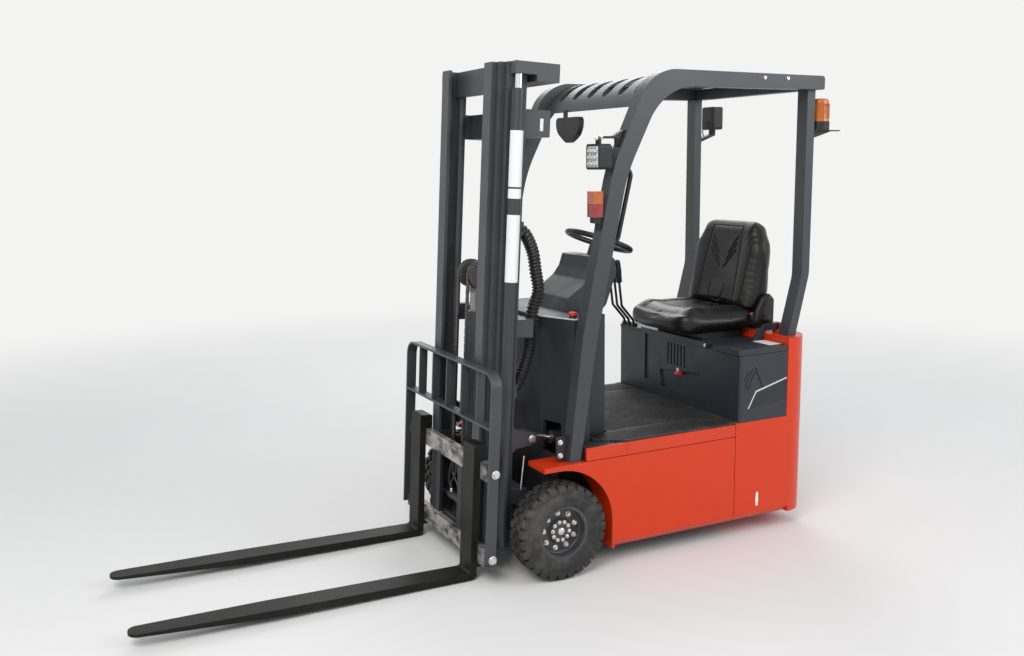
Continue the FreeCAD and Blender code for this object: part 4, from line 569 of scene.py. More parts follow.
def repeat(rule, mesh, **inputs):
    """A plain mesh of the copies that a rule makes of mesh. Inputs go in by their names."""
    carrier = bpy.data.objects.new("carrier", mesh)
    bpy.context.collection.objects.link(carrier)
    modifier = carrier.modifiers.new("copies", "NODES")
    tree = INSTANCE_TREES[rule]
    modifier.node_group = tree
    for item in tree.interface.items_tree:
        if item.item_type == "SOCKET" and item.in_out == "INPUT" and item.name in inputs:
            modifier[item.identifier] = inputs[item.name]
    graph = bpy.context.evaluated_depsgraph_get()
    plain = bpy.data.meshes.new_from_object(carrier.evaluated_get(graph))
    bpy.data.objects.remove(carrier)
    return plain


print("rules", sorted(INSTANCE_TREES))

# %% [markdown]
# Small mesh makers. Each returns a mesh in its own simple frame, and moved carries it to its
# place, so that every finished object stays at the origin, unturned and unscaled. Turned shapes
# come first: a closed profile goes round an axis, as on a lathe.

# %% Turned shapes
def mesh_of(name, points, faces):
    """A mesh of points in metres and faces given by their corners' numbers."""
    mesh = bpy.data.meshes.new(name)
    mesh.from_pydata([tuple(p) for p in points], [], faces)
    mesh.update()
    return mesh


def lathe(name, profile, steps=96):
    """A closed (along Y, radius) profile turned round the Y axis, in millimetres."""
    points = []
    for step in range(steps):
        angle = math.tau * step / steps
        for along, radius in profile:
            points.append((radius * math.sin(angle) * MM, along * MM, radius * math.cos(angle) * MM))
    count = len(profile)
    faces = []
    for step in range(steps):
        here, ahead = step * count, (step + 1) % steps * count
        for row in range(count):
            after = (row + 1) % count
            faces.append((here + row, here + after, ahead + after, ahead + row))
    mesh = mesh_of(name, points, faces)
    return outward(mesh)


def outward(mesh, bevel=0.0, segments=1):
    """Faces point out; hard edges can be bevelled, by bevel metres."""
    shape = bmesh.new()
    shape.from_mesh(mesh)
    bmesh.ops.remove_doubles(shape, verts=shape.verts, dist=1e-6)
    bmesh.ops.recalc_face_normals(shape, faces=shape.faces)
    if bevel:
        sharp = [e for e in shape.edges if len(e.link_faces) == 2 and e.calc_face_angle() > 0.5]
        bmesh.ops.bevel(shape, geom=sharp, offset=bevel, segments=segments, profile=0.5,
                        affect="EDGES", clamp_overlap=True)
    shape.to_mesh(mesh)
    shape.free()
    return mesh


print("lathe ready")

# %% [markdown]
# Plates, blocks and brackets are prisms: an outline in two axes and a length along the third. The
# letters of axes say which is which, so one maker serves side views, front views and plans.

# %% Prisms and blocks
def prism(name, outline, low, high, axes="XYZ", bevel=0.0, segments=1):
    """An outline in the first two axes, from low to high along the third, in millimetres."""
    order = ["XYZ".index(letter) for letter in axes]
    points = []
    for level in (low, high):
        for a, b in outline:
            point = [0, 0, 0]
            point[order[0]], point[order[1]], point[order[2]] = a * MM, b * MM, level * MM
            points.append(point)
    count = len(outline)
    faces = [tuple(range(count)), tuple(range(count, 2 * count))]
    faces += [(i, (i + 1) % count, (i + 1) % count + count, i + count) for i in range(count)]
    return outward(mesh_of(name, points, faces), bevel * MM, segments)


def block(name, x, y, z, bevel=0.0):
    """A box between two values along each axis, in millimetres."""
    outline = [(x[0], y[0]), (x[1], y[0]), (x[1], y[1]), (x[0], y[1])]
    return prism(name, outline, z[0], z[1], bevel=bevel)


print("prism and block ready")

# %% [markdown]
# Meshes that share a body and a finish are joined, moved to their place and made one piece. Each
# piece rides on the body of the truck that carries it, so it follows that body's joint.

# %% Joining, moving and adding pieces
def joined(name, meshes):
    """One mesh of several, as they lie."""
    shape = bmesh.new()
    for mesh in meshes:
        shape.from_mesh(mesh)
    whole = bpy.data.meshes.new(name)
    shape.to_mesh(whole)
    shape.free()
    return whole


def moved(mesh, matrix):
    """A moved copy; where the matrix mirrors it, its faces are turned back outwards."""
    copy = mesh.copy()
    copy.transform(matrix)
    if matrix.determinant() < 0:
        copy.flip_normals()
    return copy


def add_piece(name, mesh, finish, body, smooth=40):
    """A finished object at the origin, riding on a body."""
    mesh.name = name
    mesh.materials.clear()
    mesh.materials.append(finishes[finish])
    for face in mesh.polygons:
        face.material_index = 0
    piece = bpy.data.objects.new(name, mesh)
    bpy.context.collection.objects.link(piece)
    if smooth:
        mesh.shade_smooth()
        mesh.set_sharp_from_angle(angle=math.radians(smooth))
    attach(piece, body)
    return piece


MIRROR = Matrix.Scale(-1, 4, (0, 1, 0))
TRUCK = Matrix.Translation((AXLE_X, 0, 0))
print("piece maker ready")

# %% [markdown]
# The front tyres are solid cushion tyres. The carcass is one profile turned round the axle, with
# a step at the rim and a slightly proud band on the sidewall. A tread block is a small wedge that
# climbs over the shoulder; 27 of them stand in a ring on each side, half a pitch apart, with
# narrower blocks between them down the middle.

# %% Front tyres
FRONT_LUGS, REAR_LUGS = 27, 26
RIM_BEAD = 104


def tread_blocks(name, radius, half_width, count, shoulder=32, depth=13):
    """Shoulder blocks and inner blocks of one tyre, round the Y axis."""
    top = radius - 1.1
    side = half_width - 0.3
    pitch = math.tau * radius / count
    wide = pitch * 0.36
    outer = [(half_width * 0.40, radius - depth), (half_width * 0.42, top), (half_width * 0.80, top - 0.8),
             (side - 1.5, radius - 11), (side, radius - shoulder), (side - 5, radius - shoulder - 1)]
    inner = [(2, radius - depth), (2.5, top), (half_width * 0.50, top), (half_width * 0.52, radius - depth)]
    block_outer = prism(name + "_outer", outer, -wide, wide, "YZX", bevel=2.0)
    block_inner = prism(name + "_inner", inner, -wide * 0.72, wide * 0.72, "YZX", bevel=1.5)
    half_turn = Matrix.Rotation(math.pi / count, 4, "Y")
    one = [block_outer, moved(block_inner, half_turn)]
    other = [moved(part, half_turn @ MIRROR) for part in one]
    pair = joined(name + "_blocks", one + other)
    return repeat("ring", pair, Count=count, Finish=finishes["tyre"])


def carcass(name, radius, side, bead):
    """The body of a tyre round the Y axis: radius, half width and the radius of its bead."""
    half = [(side * 0.80, bead), (side * 0.88, bead + 4), (side * 0.93, bead + 9), (side * 0.98, bead + 22),
            (side * 0.985, bead + 30), (side, bead + 31), (side, bead + 44), (side * 0.98, bead + 46),
            (side * 0.965, radius - 28), (side * 0.90, radius - 19), (side * 0.76, radius - 13.5),
            (side * 0.3, radius - 11.5)]
    profile = half + [(-along, r) for along, r in reversed(half)]
    return lathe(name, profile)


front_low, front_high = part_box("front_tyre_left")
front_radius = (front_high[2] - front_low[2]) / 2 / MM
front_half = (front_high[1] - front_low[1]) / 2 / MM
front_centre = (front_low + front_high) / 2
front_shape = joined("front_tyre", [carcass("front_carcass", front_radius, front_half, RIM_BEAD),
                                    tread_blocks("front", front_radius, front_half, FRONT_LUGS)])
for side, sign in (("left", 1), ("right", -1)):
    shift = Matrix.Translation((front_centre[0], sign * front_centre[1], front_centre[2]))
    lean = Matrix.Rotation(0.05 * sign, 4, "Y")
    tyre = add_piece(f"tread_front_{side}", moved(front_shape, shift @ lean), "tyre",
                     f"front_wheel_{side}", 35)
    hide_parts(f"front_tyre_{side}")
print("front tyre", round(front_radius), "by", round(2 * front_half), "with", FRONT_LUGS, "blocks a side")

# %% [markdown]
# The rear tyre is the steered and driven one. The same two makers give its body and its tread,
# from its own box in the frame.

# %% Rear tyre
rear_low, rear_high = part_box("rear_tyre")
rear_radius = (rear_high[2] - rear_low[2]) / 2 / MM
rear_half = (rear_high[1] - rear_low[1]) / 2 / MM
rear_centre = (rear_low + rear_high) / 2
rear_shape = joined("rear_tyre", [carcass("rear_carcass", rear_radius, rear_half, RIM_BEAD),
                                  tread_blocks("rear", rear_radius, rear_half, REAR_LUGS)])
tyre = add_piece("tread_rear", moved(rear_shape, Matrix.Translation(rear_centre)), "tyre", "rear_wheel", 35)
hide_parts("rear_tyre")
print("rear tyre faces", len(tyre.data.polygons))

# %% [markdown]
# The seat is stitched vinyl over foam. Its cushion and back start from the CAD blocks, which
# are remeshed evenly and blown up a little as cloth, so that their edges swell as foam does.
# A smoothing pass then irons out the wrinkles that cloth makes under pressure.

# %% Soft body maker
PAD_VOXEL, PAD_PRESSURE, PAD_SWELL = 0.006, 4.0, 0.010
CLOTH_FRAMES = 14


def merged_copy(node):
    """A closed copy of a CAD node's mesh, its loose triangles joined."""
    shape = bmesh.new()
    shape.from_mesh(nodes[node].data)
    bmesh.ops.remove_doubles(shape, verts=shape.verts, dist=1e-5)
    bmesh.ops.recalc_face_normals(shape, faces=shape.faces)
    mesh = bpy.data.meshes.new(node + "_copy")
    shape.to_mesh(mesh)
    shape.free()
    return mesh


def applied(piece, name):
    """The piece's mesh with its modifiers applied."""
    graph = bpy.context.evaluated_depsgraph_get()
    mesh = bpy.data.meshes.new_from_object(piece.evaluated_get(graph))
    mesh.name = name
    return mesh


def puffed(node):
    """An evenly meshed, inflated copy; no point moves further than PAD_SWELL metres."""
    source = bpy.data.objects.new(node + "_foam", merged_copy(node))
    bpy.context.collection.objects.link(source)
    grid = source.modifiers.new("even", "REMESH")
    grid.mode = "VOXEL"
    grid.voxel_size = PAD_VOXEL
    grid.use_smooth_shade = True
    source.data = applied(source, node + "_even")
    source.modifiers.clear()
    rest = [point.co.copy() for point in source.data.vertices]
    frames = CLOTH_FRAMES
    cloth = source.modifiers.new("foam", "CLOTH")
    cloth.settings.quality = 4
    cloth.settings.mass = 0.35
    cloth.settings.use_pressure = True
    cloth.settings.uniform_pressure_force = PAD_PRESSURE
    cloth.settings.effector_weights.gravity = 0
    cloth.settings.tension_stiffness = 25
    cloth.settings.compression_stiffness = 25
    cloth.settings.shear_stiffness = 12
    cloth.settings.bending_stiffness = 8.0
    cloth.point_cache.frame_start = 1
    cloth.point_cache.frame_end = frames
    for step in range(1, frames + 1):
        bpy.context.scene.frame_set(step)
    ironed = source.modifiers.new("ironed", "SMOOTH")
    ironed.factor = 0.5
    ironed.iterations = 14
    source.data = applied(source, node + "_puffed")
    source.modifiers.clear()
    bpy.context.scene.frame_set(1)
    for point, start in zip(source.data.vertices, rest):
        shift = point.co - start
        if shift.length > PAD_SWELL:
            point.co = start + shift.normalized() * PAD_SWELL
    mesh = source.data
    bpy.data.objects.remove(source)
    print(node, "points", len(mesh.vertices), "frames", frames)
    return mesh


print("soft body maker ready")

# %% [markdown]
# Foam is given its shape by a mould. Here a rule moves every point by its place and its normal;
# hill is the smooth bump that such rules are built from, and near_line measures to a seam.

# %% Pressing rules
def hill(value, width):
    """1 at 0, falling smoothly to 0 at width."""
    share = min(1.0, abs(value) / width)
    return (1 - share * share) ** 2


def near_line(y, z, first, second):
    """Distance from a place to a stitched line, in the same units."""
    ay, az = first
    by, bz = second
    dy, dz = by - ay, bz - az
    share = max(0.0, min(1.0, ((y - ay) * dy + (z - az) * dz) / (dy * dy + dz * dz)))
    return math.hypot(y - ay - dy * share, z - az - dz * share)


def pressed(mesh, rule):
    """Moves each point by rule(place, normal), a vector in metres."""
    normals = [point.normal.copy() for point in mesh.vertices]
    places = [point.co.copy() for point in mesh.vertices]
    for point, place, normal in zip(mesh.vertices, places, normals):
        point.co = place + rule(place, normal)
    mesh.update()
    return mesh


def subdivided(mesh):
    """The mesh with each face split in four and smoothed."""
    carrier = bpy.data.objects.new("carrier", mesh)
    bpy.context.collection.objects.link(carrier)
    carrier.modifiers.new("fine", "SUBSURF").levels = 1
    fine = applied(carrier, mesh.name + "_fine")
    bpy.data.objects.remove(carrier)
    return fine


print("pressing rules ready")

# %% [markdown]
# The cushion is pressed after it is inflated: each point is moved by a rule of its place. The rule
# adds side bolsters, a pan, a rolled front edge and three pairs of stitched pleats, so that the
# grooves are real geometry and show in the outline as well.

# %% Seat cushion
pan_low, pan_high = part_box("seat_cushion")
BOLSTER_OFF, BOLSTER_WIDE = 0.178, 0.062
PLEAT_ROWS, PLEAT_WIDE, PLEAT_DEEP = 3, 0.0075, 0.006
CUSHION_PLEATS = [((0.115 - 0.022 * row, side * 0.062),
                   (0.062 - 0.014 * row, side * (0.018 + 0.012 * row)))
                  for row in range(PLEAT_ROWS) for side in (1, -1)]


def rolled(place, low, high, axes, inset):
    """Draws the rim of a pad inwards, so that its edges roll over."""
    middle = (low + high) / 2
    across = 2 if axes == "XY" else 0
    depth = (place[across] - middle[across]) / (high[across] - middle[across])
    strength = inset * abs(depth) ** 2.6
    shift = Vector()
    for axis in axes:
        number = "XYZ".index(axis)
        share = (place[number] - middle[number]) / (high[number] - middle[number])
        shift[number] = -strength * math.copysign(min(1.0, abs(share)) ** 4, share)
    return shift


def press_cushion(place, normal):
    """Pan, side bolsters, rolled front and pleats, all read from above."""
    roll = rolled(place, pan_low, pan_high, "XY", 0.022 if normal.z > -0.2 else 0.034)
    if normal.z < -0.2:
        return roll
    top = max(0.0, normal.z) ** 1.5
    back_off = place.x - pan_low.x
    length = pan_high.x - pan_low.x
    bolster = hill(abs(place.y) - BOLSTER_OFF, BOLSTER_WIDE)
    pan = hill(place.y, 0.15) * hill(back_off - length * 0.48, length * 0.55)
    thigh = hill(back_off - length * 0.80, length * 0.2)
    front = max(0.0, (back_off - length * 0.74) / (length * 0.26)) ** 2
    drop = -0.014 * pan + 0.006 * bolster + 0.007 * thigh - 0.020 * front
    groove = 0.0
    for first, second in CUSHION_PLEATS:
        groove = max(groove, hill(near_line(back_off, place.y, first, second), PLEAT_WIDE))
    edge = hill(abs(place.y) - (0.142 - 0.05 * (back_off / length - 0.5) ** 2), 0.007)
    edge *= 1.0 if 0.03 < back_off < length * 0.86 else 0.0
    return roll + Vector((0, 0, top * (drop - PLEAT_DEEP * groove - 0.004 * edge)))


cushion = pressed(subdivided(puffed("seat_cushion")), press_cushion)
cushion = add_piece("vinyl_cushion", cushion, "seat_vinyl", "seat_lid", 0)
cushion.data.shade_smooth()
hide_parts("seat_cushion")

# %% [markdown]
# The back is pressed on its front face in the same way: bolsters, a hollow for the shoulders, a
# pad for the loins, three stitched chevrons on each side and a U-shaped seam at the foot.

# %% Seat back
rest_low, rest_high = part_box("seat_back")
CHEVRON_ROWS, CHEVRON_WIDE = 3, 0.0065
SEAM_WIDE, SEAM_SHARE, BOWL_RADIUS = 0.006, 0.8, 0.050


def press_back(place, normal):
    """Bolsters, hollow, loin pad, chevrons and seams on the front face."""
    face = max(0.0, normal.x) ** 1.2
    height = place.z - rest_low.z
    tall = rest_high.z - rest_low.z
    y = place.y
    bolster = hill(abs(y) - 0.165, 0.06) * (1.0 if height < tall * 0.8 else 0.6)
    pan = hill(y, 0.13) * hill(height - tall * 0.45, tall * 0.5)
    lumbar = hill(y, 0.12) * hill(height - tall * 0.24, tall * 0.16)
    depth = 0.006 * bolster - 0.008 * pan + 0.007 * lumbar
    groove = 0.0
    for row in range(CHEVRON_ROWS):
        line = near_line(abs(y), height, (0.014 + 0.010 * row, tall * 0.51 + 0.032 * row),
                         (0.086, tall * 0.51 + 0.080 + 0.030 * row))
        groove = max(groove, hill(line, CHEVRON_WIDE))
    bowl, crown = tall * 0.27, tall * 0.93
    seams = []
    if height < bowl:
        seams.append(abs(math.hypot(y, height - bowl) - BOWL_RADIUS))
    elif height < bowl + 0.03:
        seams.append(abs(y) - BOWL_RADIUS)
    if 0.03 < height < crown:
        seams.append(abs(abs(y) - (0.128 - 0.03 * (height / tall) ** 2)))
    if abs(y) < 0.105:
        seams.append(height - crown)
    for distance in seams:
        groove = max(groove, SEAM_SHARE * hill(distance, SEAM_WIDE))
    roll = rolled(place, rest_low, rest_high, "YZ", 0.020)
    return roll + Vector((face * (depth - PLEAT_DEEP * groove), 0, 0))


back = pressed(subdivided(puffed("seat_back")), press_back)
back = add_piece("vinyl_back", back, "seat_vinyl", "seat_lid", 0)
back.data.shade_smooth()
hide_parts("seat_back")

# %% [markdown]
# Fasteners are drawn once, standing on the plane y = 0, and aimed along the way they point. A
# bolt is a hexagon prism on a turned washer; thread and shank are hidden, so they aren't made.

# %% Fasteners
def aimed(mesh, place, direction):
    """The mesh at place, with its Y axis along direction."""
    turn = Vector((0, 1, 0)).rotation_difference(Vector(direction).normalized())
    return moved(mesh, Matrix.Translation(place) @ turn.to_matrix().to_4x4())


def bolt_head(name, across=17.0, height=8.0, washer=13.0):
    """A hexagon head on its washer, standing on the plane y = 0."""
    corner = across / math.sqrt(3)
    outline = [(corner * math.cos(math.tau * side / 6), corner * math.sin(math.tau * side / 6))
               for side in range(6)]
    head = prism(name + "_head", outline, 1.5, 1.6 + height, "XZY", bevel=0.9)
    ring = lathe(name + "_washer", [(0, 0.5), (0, washer), (1.6, washer), (1.6, 0.5)], 24)
    return joined(name, [head, ring])


print("fastener makers ready")

# %% [markdown]
# A hose is a ring of points carried along a smooth curve. The ring keeps its turn from one step to
# the next, so the hose doesn't twist, and a swelling that winds with the length makes a guard.

# %% Hoses
def smooth_path(places, steps):
    """Points on a smooth curve through all the places."""
    path = []
    for index in range(len(places) - 1):
        before = places[max(index - 1, 0)]
        first, second = places[index], places[index + 1]
        after = places[min(index + 2, len(places) - 1)]
        for step in range(steps):
            t = step / steps
            path.append(0.5 * (2 * first + (second - before) * t
                               + (2 * before - 5 * first + 4 * second - after) * t ** 2
                               + (3 * first - before - 3 * second + after) * t ** 3))
    path.append(places[-1].copy())
    return path


def swept(name, places, radius, steps=10, sides=12, ridge=0.0, pitch=12.0):
    """A hose through places in the scene; ridge and pitch wind a guard round it, in millimetres."""
    path = smooth_path([Vector(place) for place in places], steps)
    points, faces = [], []
    side = None
    run = 0.0
    for index, here in enumerate(path):
        ahead = (path[min(index + 1, len(path) - 1)] - path[max(index - 1, 0)]).normalized()
        if side is None:
            side = ahead.orthogonal().normalized()
        side = (side - ahead * side.dot(ahead)).normalized()
        other = ahead.cross(side)
        if index:
            run += (here - path[index - 1]).length / MM
        for corner in range(sides):
            angle = math.tau * corner / sides
            swell = ridge * (0.5 + 0.5 * math.cos(math.tau * run / pitch - angle))
            reach = (radius + swell) * MM
            points.append(here + (side * math.cos(angle) + other * math.sin(angle)) * reach)
    for index in range(len(path) - 1):
        for corner in range(sides):
            first = index * sides + corner
            second = index * sides + (corner + 1) % sides
            faces.append((first, second, second + sides, first + sides))
    faces.append(tuple(range(sides)))
    faces.append(tuple(range(len(points) - sides, len(points))))
    return outward(mesh_of(name, points, faces))


print("hose maker ready")

# %% [markdown]
# One more rule sets a copy at each of a set of marked points, turned by that point's own attribute.
# It suits what follows a path, such as the links of a chain.

# %% Copies at points
def placed_tree():
    """Copies of an object at every point, each turned by the point's own attribute."""
    tree, start, end = empty_tree("copies_at_points", [
        ("Copy", "Object", None), ("Finish", "Material", None)])
    source = tree.nodes.new("GeometryNodeObjectInfo")
    tree.links.new(start.outputs["Copy"], source.inputs["Object"])
    turn = tree.nodes.new("GeometryNodeInputNamedAttribute")
    turn.data_type = "FLOAT_VECTOR"
    turn.inputs["Name"].default_value = "turn"
    copies = tree.nodes.new("GeometryNodeInstanceOnPoints")
    tree.links.new(start.outputs["Geometry"], copies.inputs["Points"])
    tree.links.new(source.outputs["Geometry"], copies.inputs["Instance"])
    tree.links.new(turn.outputs["Attribute"], copies.inputs["Rotation"])
    finish_tree(tree, start, end, copies.outputs["Instances"])
    return tree


INSTANCE_TREES["placed"] = placed_tree()


def repeat_at(name, spots, mesh, finish):
    """One mesh with a copy at each (place, turn) of spots."""
    marks = bpy.data.meshes.new(name + "_marks")
    marks.from_pydata([tuple(place) for place, turn in spots], [], [])
    turns = marks.attributes.new("turn", "FLOAT_VECTOR", "POINT")
    for slot, (place, turn) in zip(turns.data, spots):
        slot.vector = turn
    pattern = bpy.data.objects.new(name + "_pattern", mesh)
    bpy.context.collection.objects.link(pattern)
    plain = repeat("placed", marks, Copy=pattern, Finish=finish)
    bpy.data.objects.remove(pattern)
    return plain


print("rules", sorted(INSTANCE_TREES))

# %% [markdown]
# A few more finishes: bright zinc for fasteners, blank white for labels, silver for the side
# stripe and for the painted highlight on the cowl's edge, red plastic for knobs, and the rubber of the
# hoses. Each calls the makers above with its own numbers, so that a change to all paints is made in one
# place.

# %% Small finishes
PATCH_EDGE = 0.0004
finishes["zinc"] = bare_metal("zinc", (0.72, 0.71, 0.68), 0.26, (20, 20, 20), 0.2, 0.08)
finishes["label_white"] = paint("label_white", (0.80, 0.81, 0.80), 0.42, 0.94, 0, edge=PATCH_EDGE)
# A silver for the side stripe, and for the painted highlight on the cowl's edge.
finishes["stripe_silver"] = paint("stripe_silver", (0.62, 0.64, 0.66), 0.28, 0.92, 0, edge=PATCH_EDGE)
# A dark for the blank panel decal, and for painted shade on the deck's seam.
finishes["decal_dark"] = paint("decal_dark", (0.012, 0.014, 0.018), 0.30, 0.9, 0, edge=PATCH_EDGE)
finishes["red_plastic"] = moulded("red_plastic", (0.62, 0.025, 0.02), 0.32)
finishes["hose_rubber"] = moulded("hose_rubber", (0.011, 0.011, 0.012), 0.42, 1200, 0.00005, dust=0.06)
finishes["lamp_glass"] = paint("lamp_glass", (0.66, 0.70, 0.74), 0.12, 0.8, 0, edge=0.001)
finishes["dark_steel"] = bare_metal("dark_steel", (0.13, 0.127, 0.122), 0.46, (30, 30, 30), 0.4, 0.2)
finishes["cylinder_grey"] = paint("cylinder_grey", (0.030, 0.033, 0.040), 0.36, 0.9, 0.2,
                                  (0.12, 0.12, 0.13))
print("finishes", len(finishes))

# %% [markdown]
# The signal lamp is one lens in two colours, amber over red, with fine ribs pressed in it. Height
# alone picks the colour, and a repeating ramp of the height is the bump that makes the ribs.

# %% Signal lens
def split_lens(name, low_colour, high_colour, level, rib_height):
    """Two colours, one above the other, with fine ribs pressed in the lens."""
    finish, tree, shader = new_finish(name)
    height = tree.nodes.new("ShaderNodeSeparateXYZ")
    tree.links.new(coordinates(tree), height.inputs["Vector"])
    share = ramp(tree, height.outputs["Z"], level - 0.0006, level + 0.0006)
    colour = blend(tree, share, low_colour, high_colour)
    haze = ramp(tree, noise(tree, 60, 3), 0.3, 0.7, 0, 0.04)
    tree.links.new(blend(tree, haze, colour, (0.95, 0.75, 0.6)), shader.inputs["Base Color"])
    bands = tree.nodes.new("ShaderNodeMath")
    bands.operation = "PINGPONG"
    bands.inputs[1].default_value = rib_height
    tree.links.new(height.outputs["Z"], bands.inputs[0])
    rounded_bump(tree, shader, bands.outputs["Value"], 0.6, 0.003)
    shader.inputs["Roughness"].default_value = 0.16
    shader.inputs["Coat Weight"].default_value = 0.6
    return finish


lamp_low, lamp_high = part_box("combination_lamp")
split_level = (lamp_low.z + lamp_high.z) / 2 + 0.002
finishes["signal_lens"] = split_lens("signal_split", (0.30, 0.008, 0.006), (0.50, 0.10, 0.006),
                                     split_level, 0.05 / 22)
print("signal lens splits at", round(split_level, 3))

# %% [markdown]
# The fork bars are dark, but the forks' hooks rub them bright in patches. The patches are a noise
# stretched along the bar, and two ramps of the height keep them to the lower and the upper bar.

# %% Worn fork bars
LOW_BAR_TOP, HIGH_BAR_FOOT, BAR_SOFT = 0.148, 0.404, 0.002


def worn_bars():
    """Fork bars rubbed bright in patches, dark between them."""
    finish, tree, shader = new_finish("worn_bars")
    parts = tree.nodes.new("ShaderNodeSeparateXYZ")
    tree.links.new(coordinates(tree), parts.inputs["Vector"])
    low_bar = ramp(tree, parts.outputs["Z"], LOW_BAR_TOP + BAR_SOFT, LOW_BAR_TOP - BAR_SOFT)
    high_bar = ramp(tree, parts.outputs["Z"], HIGH_BAR_FOOT - BAR_SOFT, HIGH_BAR_FOOT + BAR_SOFT)
    bars = tree.nodes.new("ShaderNodeMath")
    bars.operation = "MAXIMUM"
    tree.links.new(low_bar, bars.inputs[0])
    tree.links.new(high_bar, bars.inputs[1])
    patches = ramp(tree, noise(tree, 26, 7, 0.62, stretch=(1, 0.45, 1)), 0.40, 0.56, 0.05, 1.0)
    bright = times(tree, bars.outputs["Value"], patches)
    colour = blend(tree, bright, (0.012, 0.012, 0.013), (0.46, 0.45, 0.43))
    tree.links.new(colour, shader.inputs["Base Color"])
    tree.links.new(times(tree, bright, 0.75), shader.inputs["Metallic"])
    rounded_bump(tree, shader, noise(tree, 60, 6, 0.6), 0.0002, 0.002)
    shader.inputs["Roughness"].default_value = 0.5
    return finish


finishes["worn_bars"] = worn_bars()
for name, finish in (("combination_lamp", "signal_lens"), ("side_shift_frame", "worn_bars"),
                     ("chain_pulleys", "dark_steel"), ("lift_cylinders", "cylinder_grey")):
    nodes[name].data.materials[0] = finishes[finish]
    print(name, "takes", finish)

# %% [markdown]
# Wheel fasteners: ten studs round the hub, nine nuts on the rim's dish and a cap in the middle.
# One stud and one nut are made, and the ring rule turns each round the axle.

# %% Wheel nuts
STUD_COUNT, STUD_CIRCLE = 10, 37
NUT_COUNT, NUT_CIRCLE = 9, 71
wheel_middle = (front_low[1] + front_high[1]) / 2 / MM
hub_face, dish_face = wheel_middle + 24, wheel_middle + 8
stud = moved(bolt_head("stud", 10, 6, 8), Matrix.Translation((0, hub_face * MM, STUD_CIRCLE * MM)))
nut = moved(bolt_head("nut", 14, 9, 11), Matrix.Translation((0, dish_face * MM, NUT_CIRCLE * MM)))
hub_cap = lathe("hub_cap", [(0, 0.5), (0, 15), (5, 14), (8, 9), (9, 0.5)], 32)
wheel_set = joined("wheel_set", [
    repeat("ring", stud, Count=STUD_COUNT, Turn=0.2, Finish=finishes["zinc"]),
    repeat("ring", nut, Count=NUT_COUNT, Turn=0.1, Finish=finishes["zinc"]),
    moved(hub_cap, Matrix.Translation((0, hub_face * MM, 0)))])
for side, flip in (("left", Matrix.Identity(4)), ("right", MIRROR)):
    centre = Matrix.Translation((front_centre[0], 0, front_centre[2]))
    add_piece(f"wheel_nuts_{side}", moved(wheel_set, centre @ flip), "zinc", f"front_wheel_{side}")
print("wheel fasteners", 2 * (STUD_COUNT + NUT_COUNT))

# %% [markdown]
# Leaf chain. Links of four plates alternate with links of three, joined by pins; the copies
# follow the chain's real route, up from the carriage, over the pulley and down to the anchor.

# %% Lift chains
CHAIN_PITCH = 15.875
RAIL_TOP = 1968
PULLEY_U, PULLEY_UP = 195.0, 0.5843 * RAIL_TOP
CHAIN_RADIUS = 55.4
CHAIN_OFF = 45
CARRIAGE_END, ANCHOR_END = 433.2, PULLEY_UP - 219.8
WIDE_PLATES, NARROW_PLATES = (-7, -2.4, 2.4, 7), (-4.7, 0, 4.7)


def plate_outline(half_high=4.9, half_long=CHAIN_PITCH / 2):
    """A chain plate seen from its side: two round ends and a waist."""
    outline = []
    for end in (1, -1):
        for step in range(7):
            angle = math.radians(-75 + 25 * step)
            along = half_long + half_high * math.cos(angle)
            outline.append((end * along, end * half_high * math.sin(angle)))
        outline.append((0, end * half_high * 0.86))
    return outline


def link(name, levels, half_thick=0.95):
    """One link along X: a plate at each level across the chain, and the pin at its front end."""
    plates = [prism(f"{name}_{level}", plate_outline(), level - half_thick, level + half_thick, "XZY")
              for level in levels]
    pin = lathe(name + "_pin", [(-8, 0.3), (-8, 2.6), (8, 2.6), (8, 0.3)], 10)
    return joined(name, plates + [moved(pin, Matrix.Translation((CHAIN_PITCH / 2 * MM, 0, 0)))])


def chain_route(run):
    """Place (u, s) and slope of the chain at a distance from the carriage end."""
    front = PULLEY_UP - CARRIAGE_END
    bend = math.pi * CHAIN_RADIUS
    if run < front:
        return PULLEY_U + CHAIN_RADIUS, CARRIAGE_END + run, math.pi / 2
    if run < front + bend:
        angle = (run - front) / CHAIN_RADIUS
        return (PULLEY_U + CHAIN_RADIUS * math.cos(angle), PULLEY_UP + CHAIN_RADIUS * math.sin(angle),
                math.pi / 2 + angle)
    return PULLEY_U - CHAIN_RADIUS, PULLEY_UP - (run - front - bend), 3 * math.pi / 2


route_length = PULLEY_UP - CARRIAGE_END + math.pi * CHAIN_RADIUS + PULLEY_UP - ANCHOR_END
link_count = int(route_length / CHAIN_PITCH)
start_gap = (route_length - link_count * CHAIN_PITCH) / 2
spots = ([], [])
for index in range(link_count):
    u, s, slope = chain_route(start_gap + (index + 0.5) * CHAIN_PITCH)
    spots[index % 2].append(((u * MM, 0, s * MM), (0, -slope, 0)))
strand = joined("strand", [
    repeat_at("wide", spots[0], link("wide_link", WIDE_PLATES), finishes["dark_steel"]),
    repeat_at("narrow", spots[1], link("narrow_link", NARROW_PLATES), finishes["dark_steel"])])
both = joined("both", [moved(strand, LEAN_BACK @ Matrix.Translation((0, y * MM, 0)))
                       for y in (CHAIN_OFF, -CHAIN_OFF)])
chain = add_piece("leaf_chains", both, "dark_steel", "crosshead", 35)
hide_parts("lift_chains")
print("chain links", 2 * link_count, "faces", len(chain.data.polygons))

# %% [markdown]
# Blank labels on the left lift cylinder. A label is a sheet half a millimetre thick, wrapped round
# part of the barrel: its outline is two arcs, and a prism carries them up the mast.

# %% Mast labels
LIFT_U, LIFT_Y, LIFT_RADIUS = 197, 320, 25
LABEL_ENDS = ((1508, 1716), (1465, 1501), (1150, 1404))


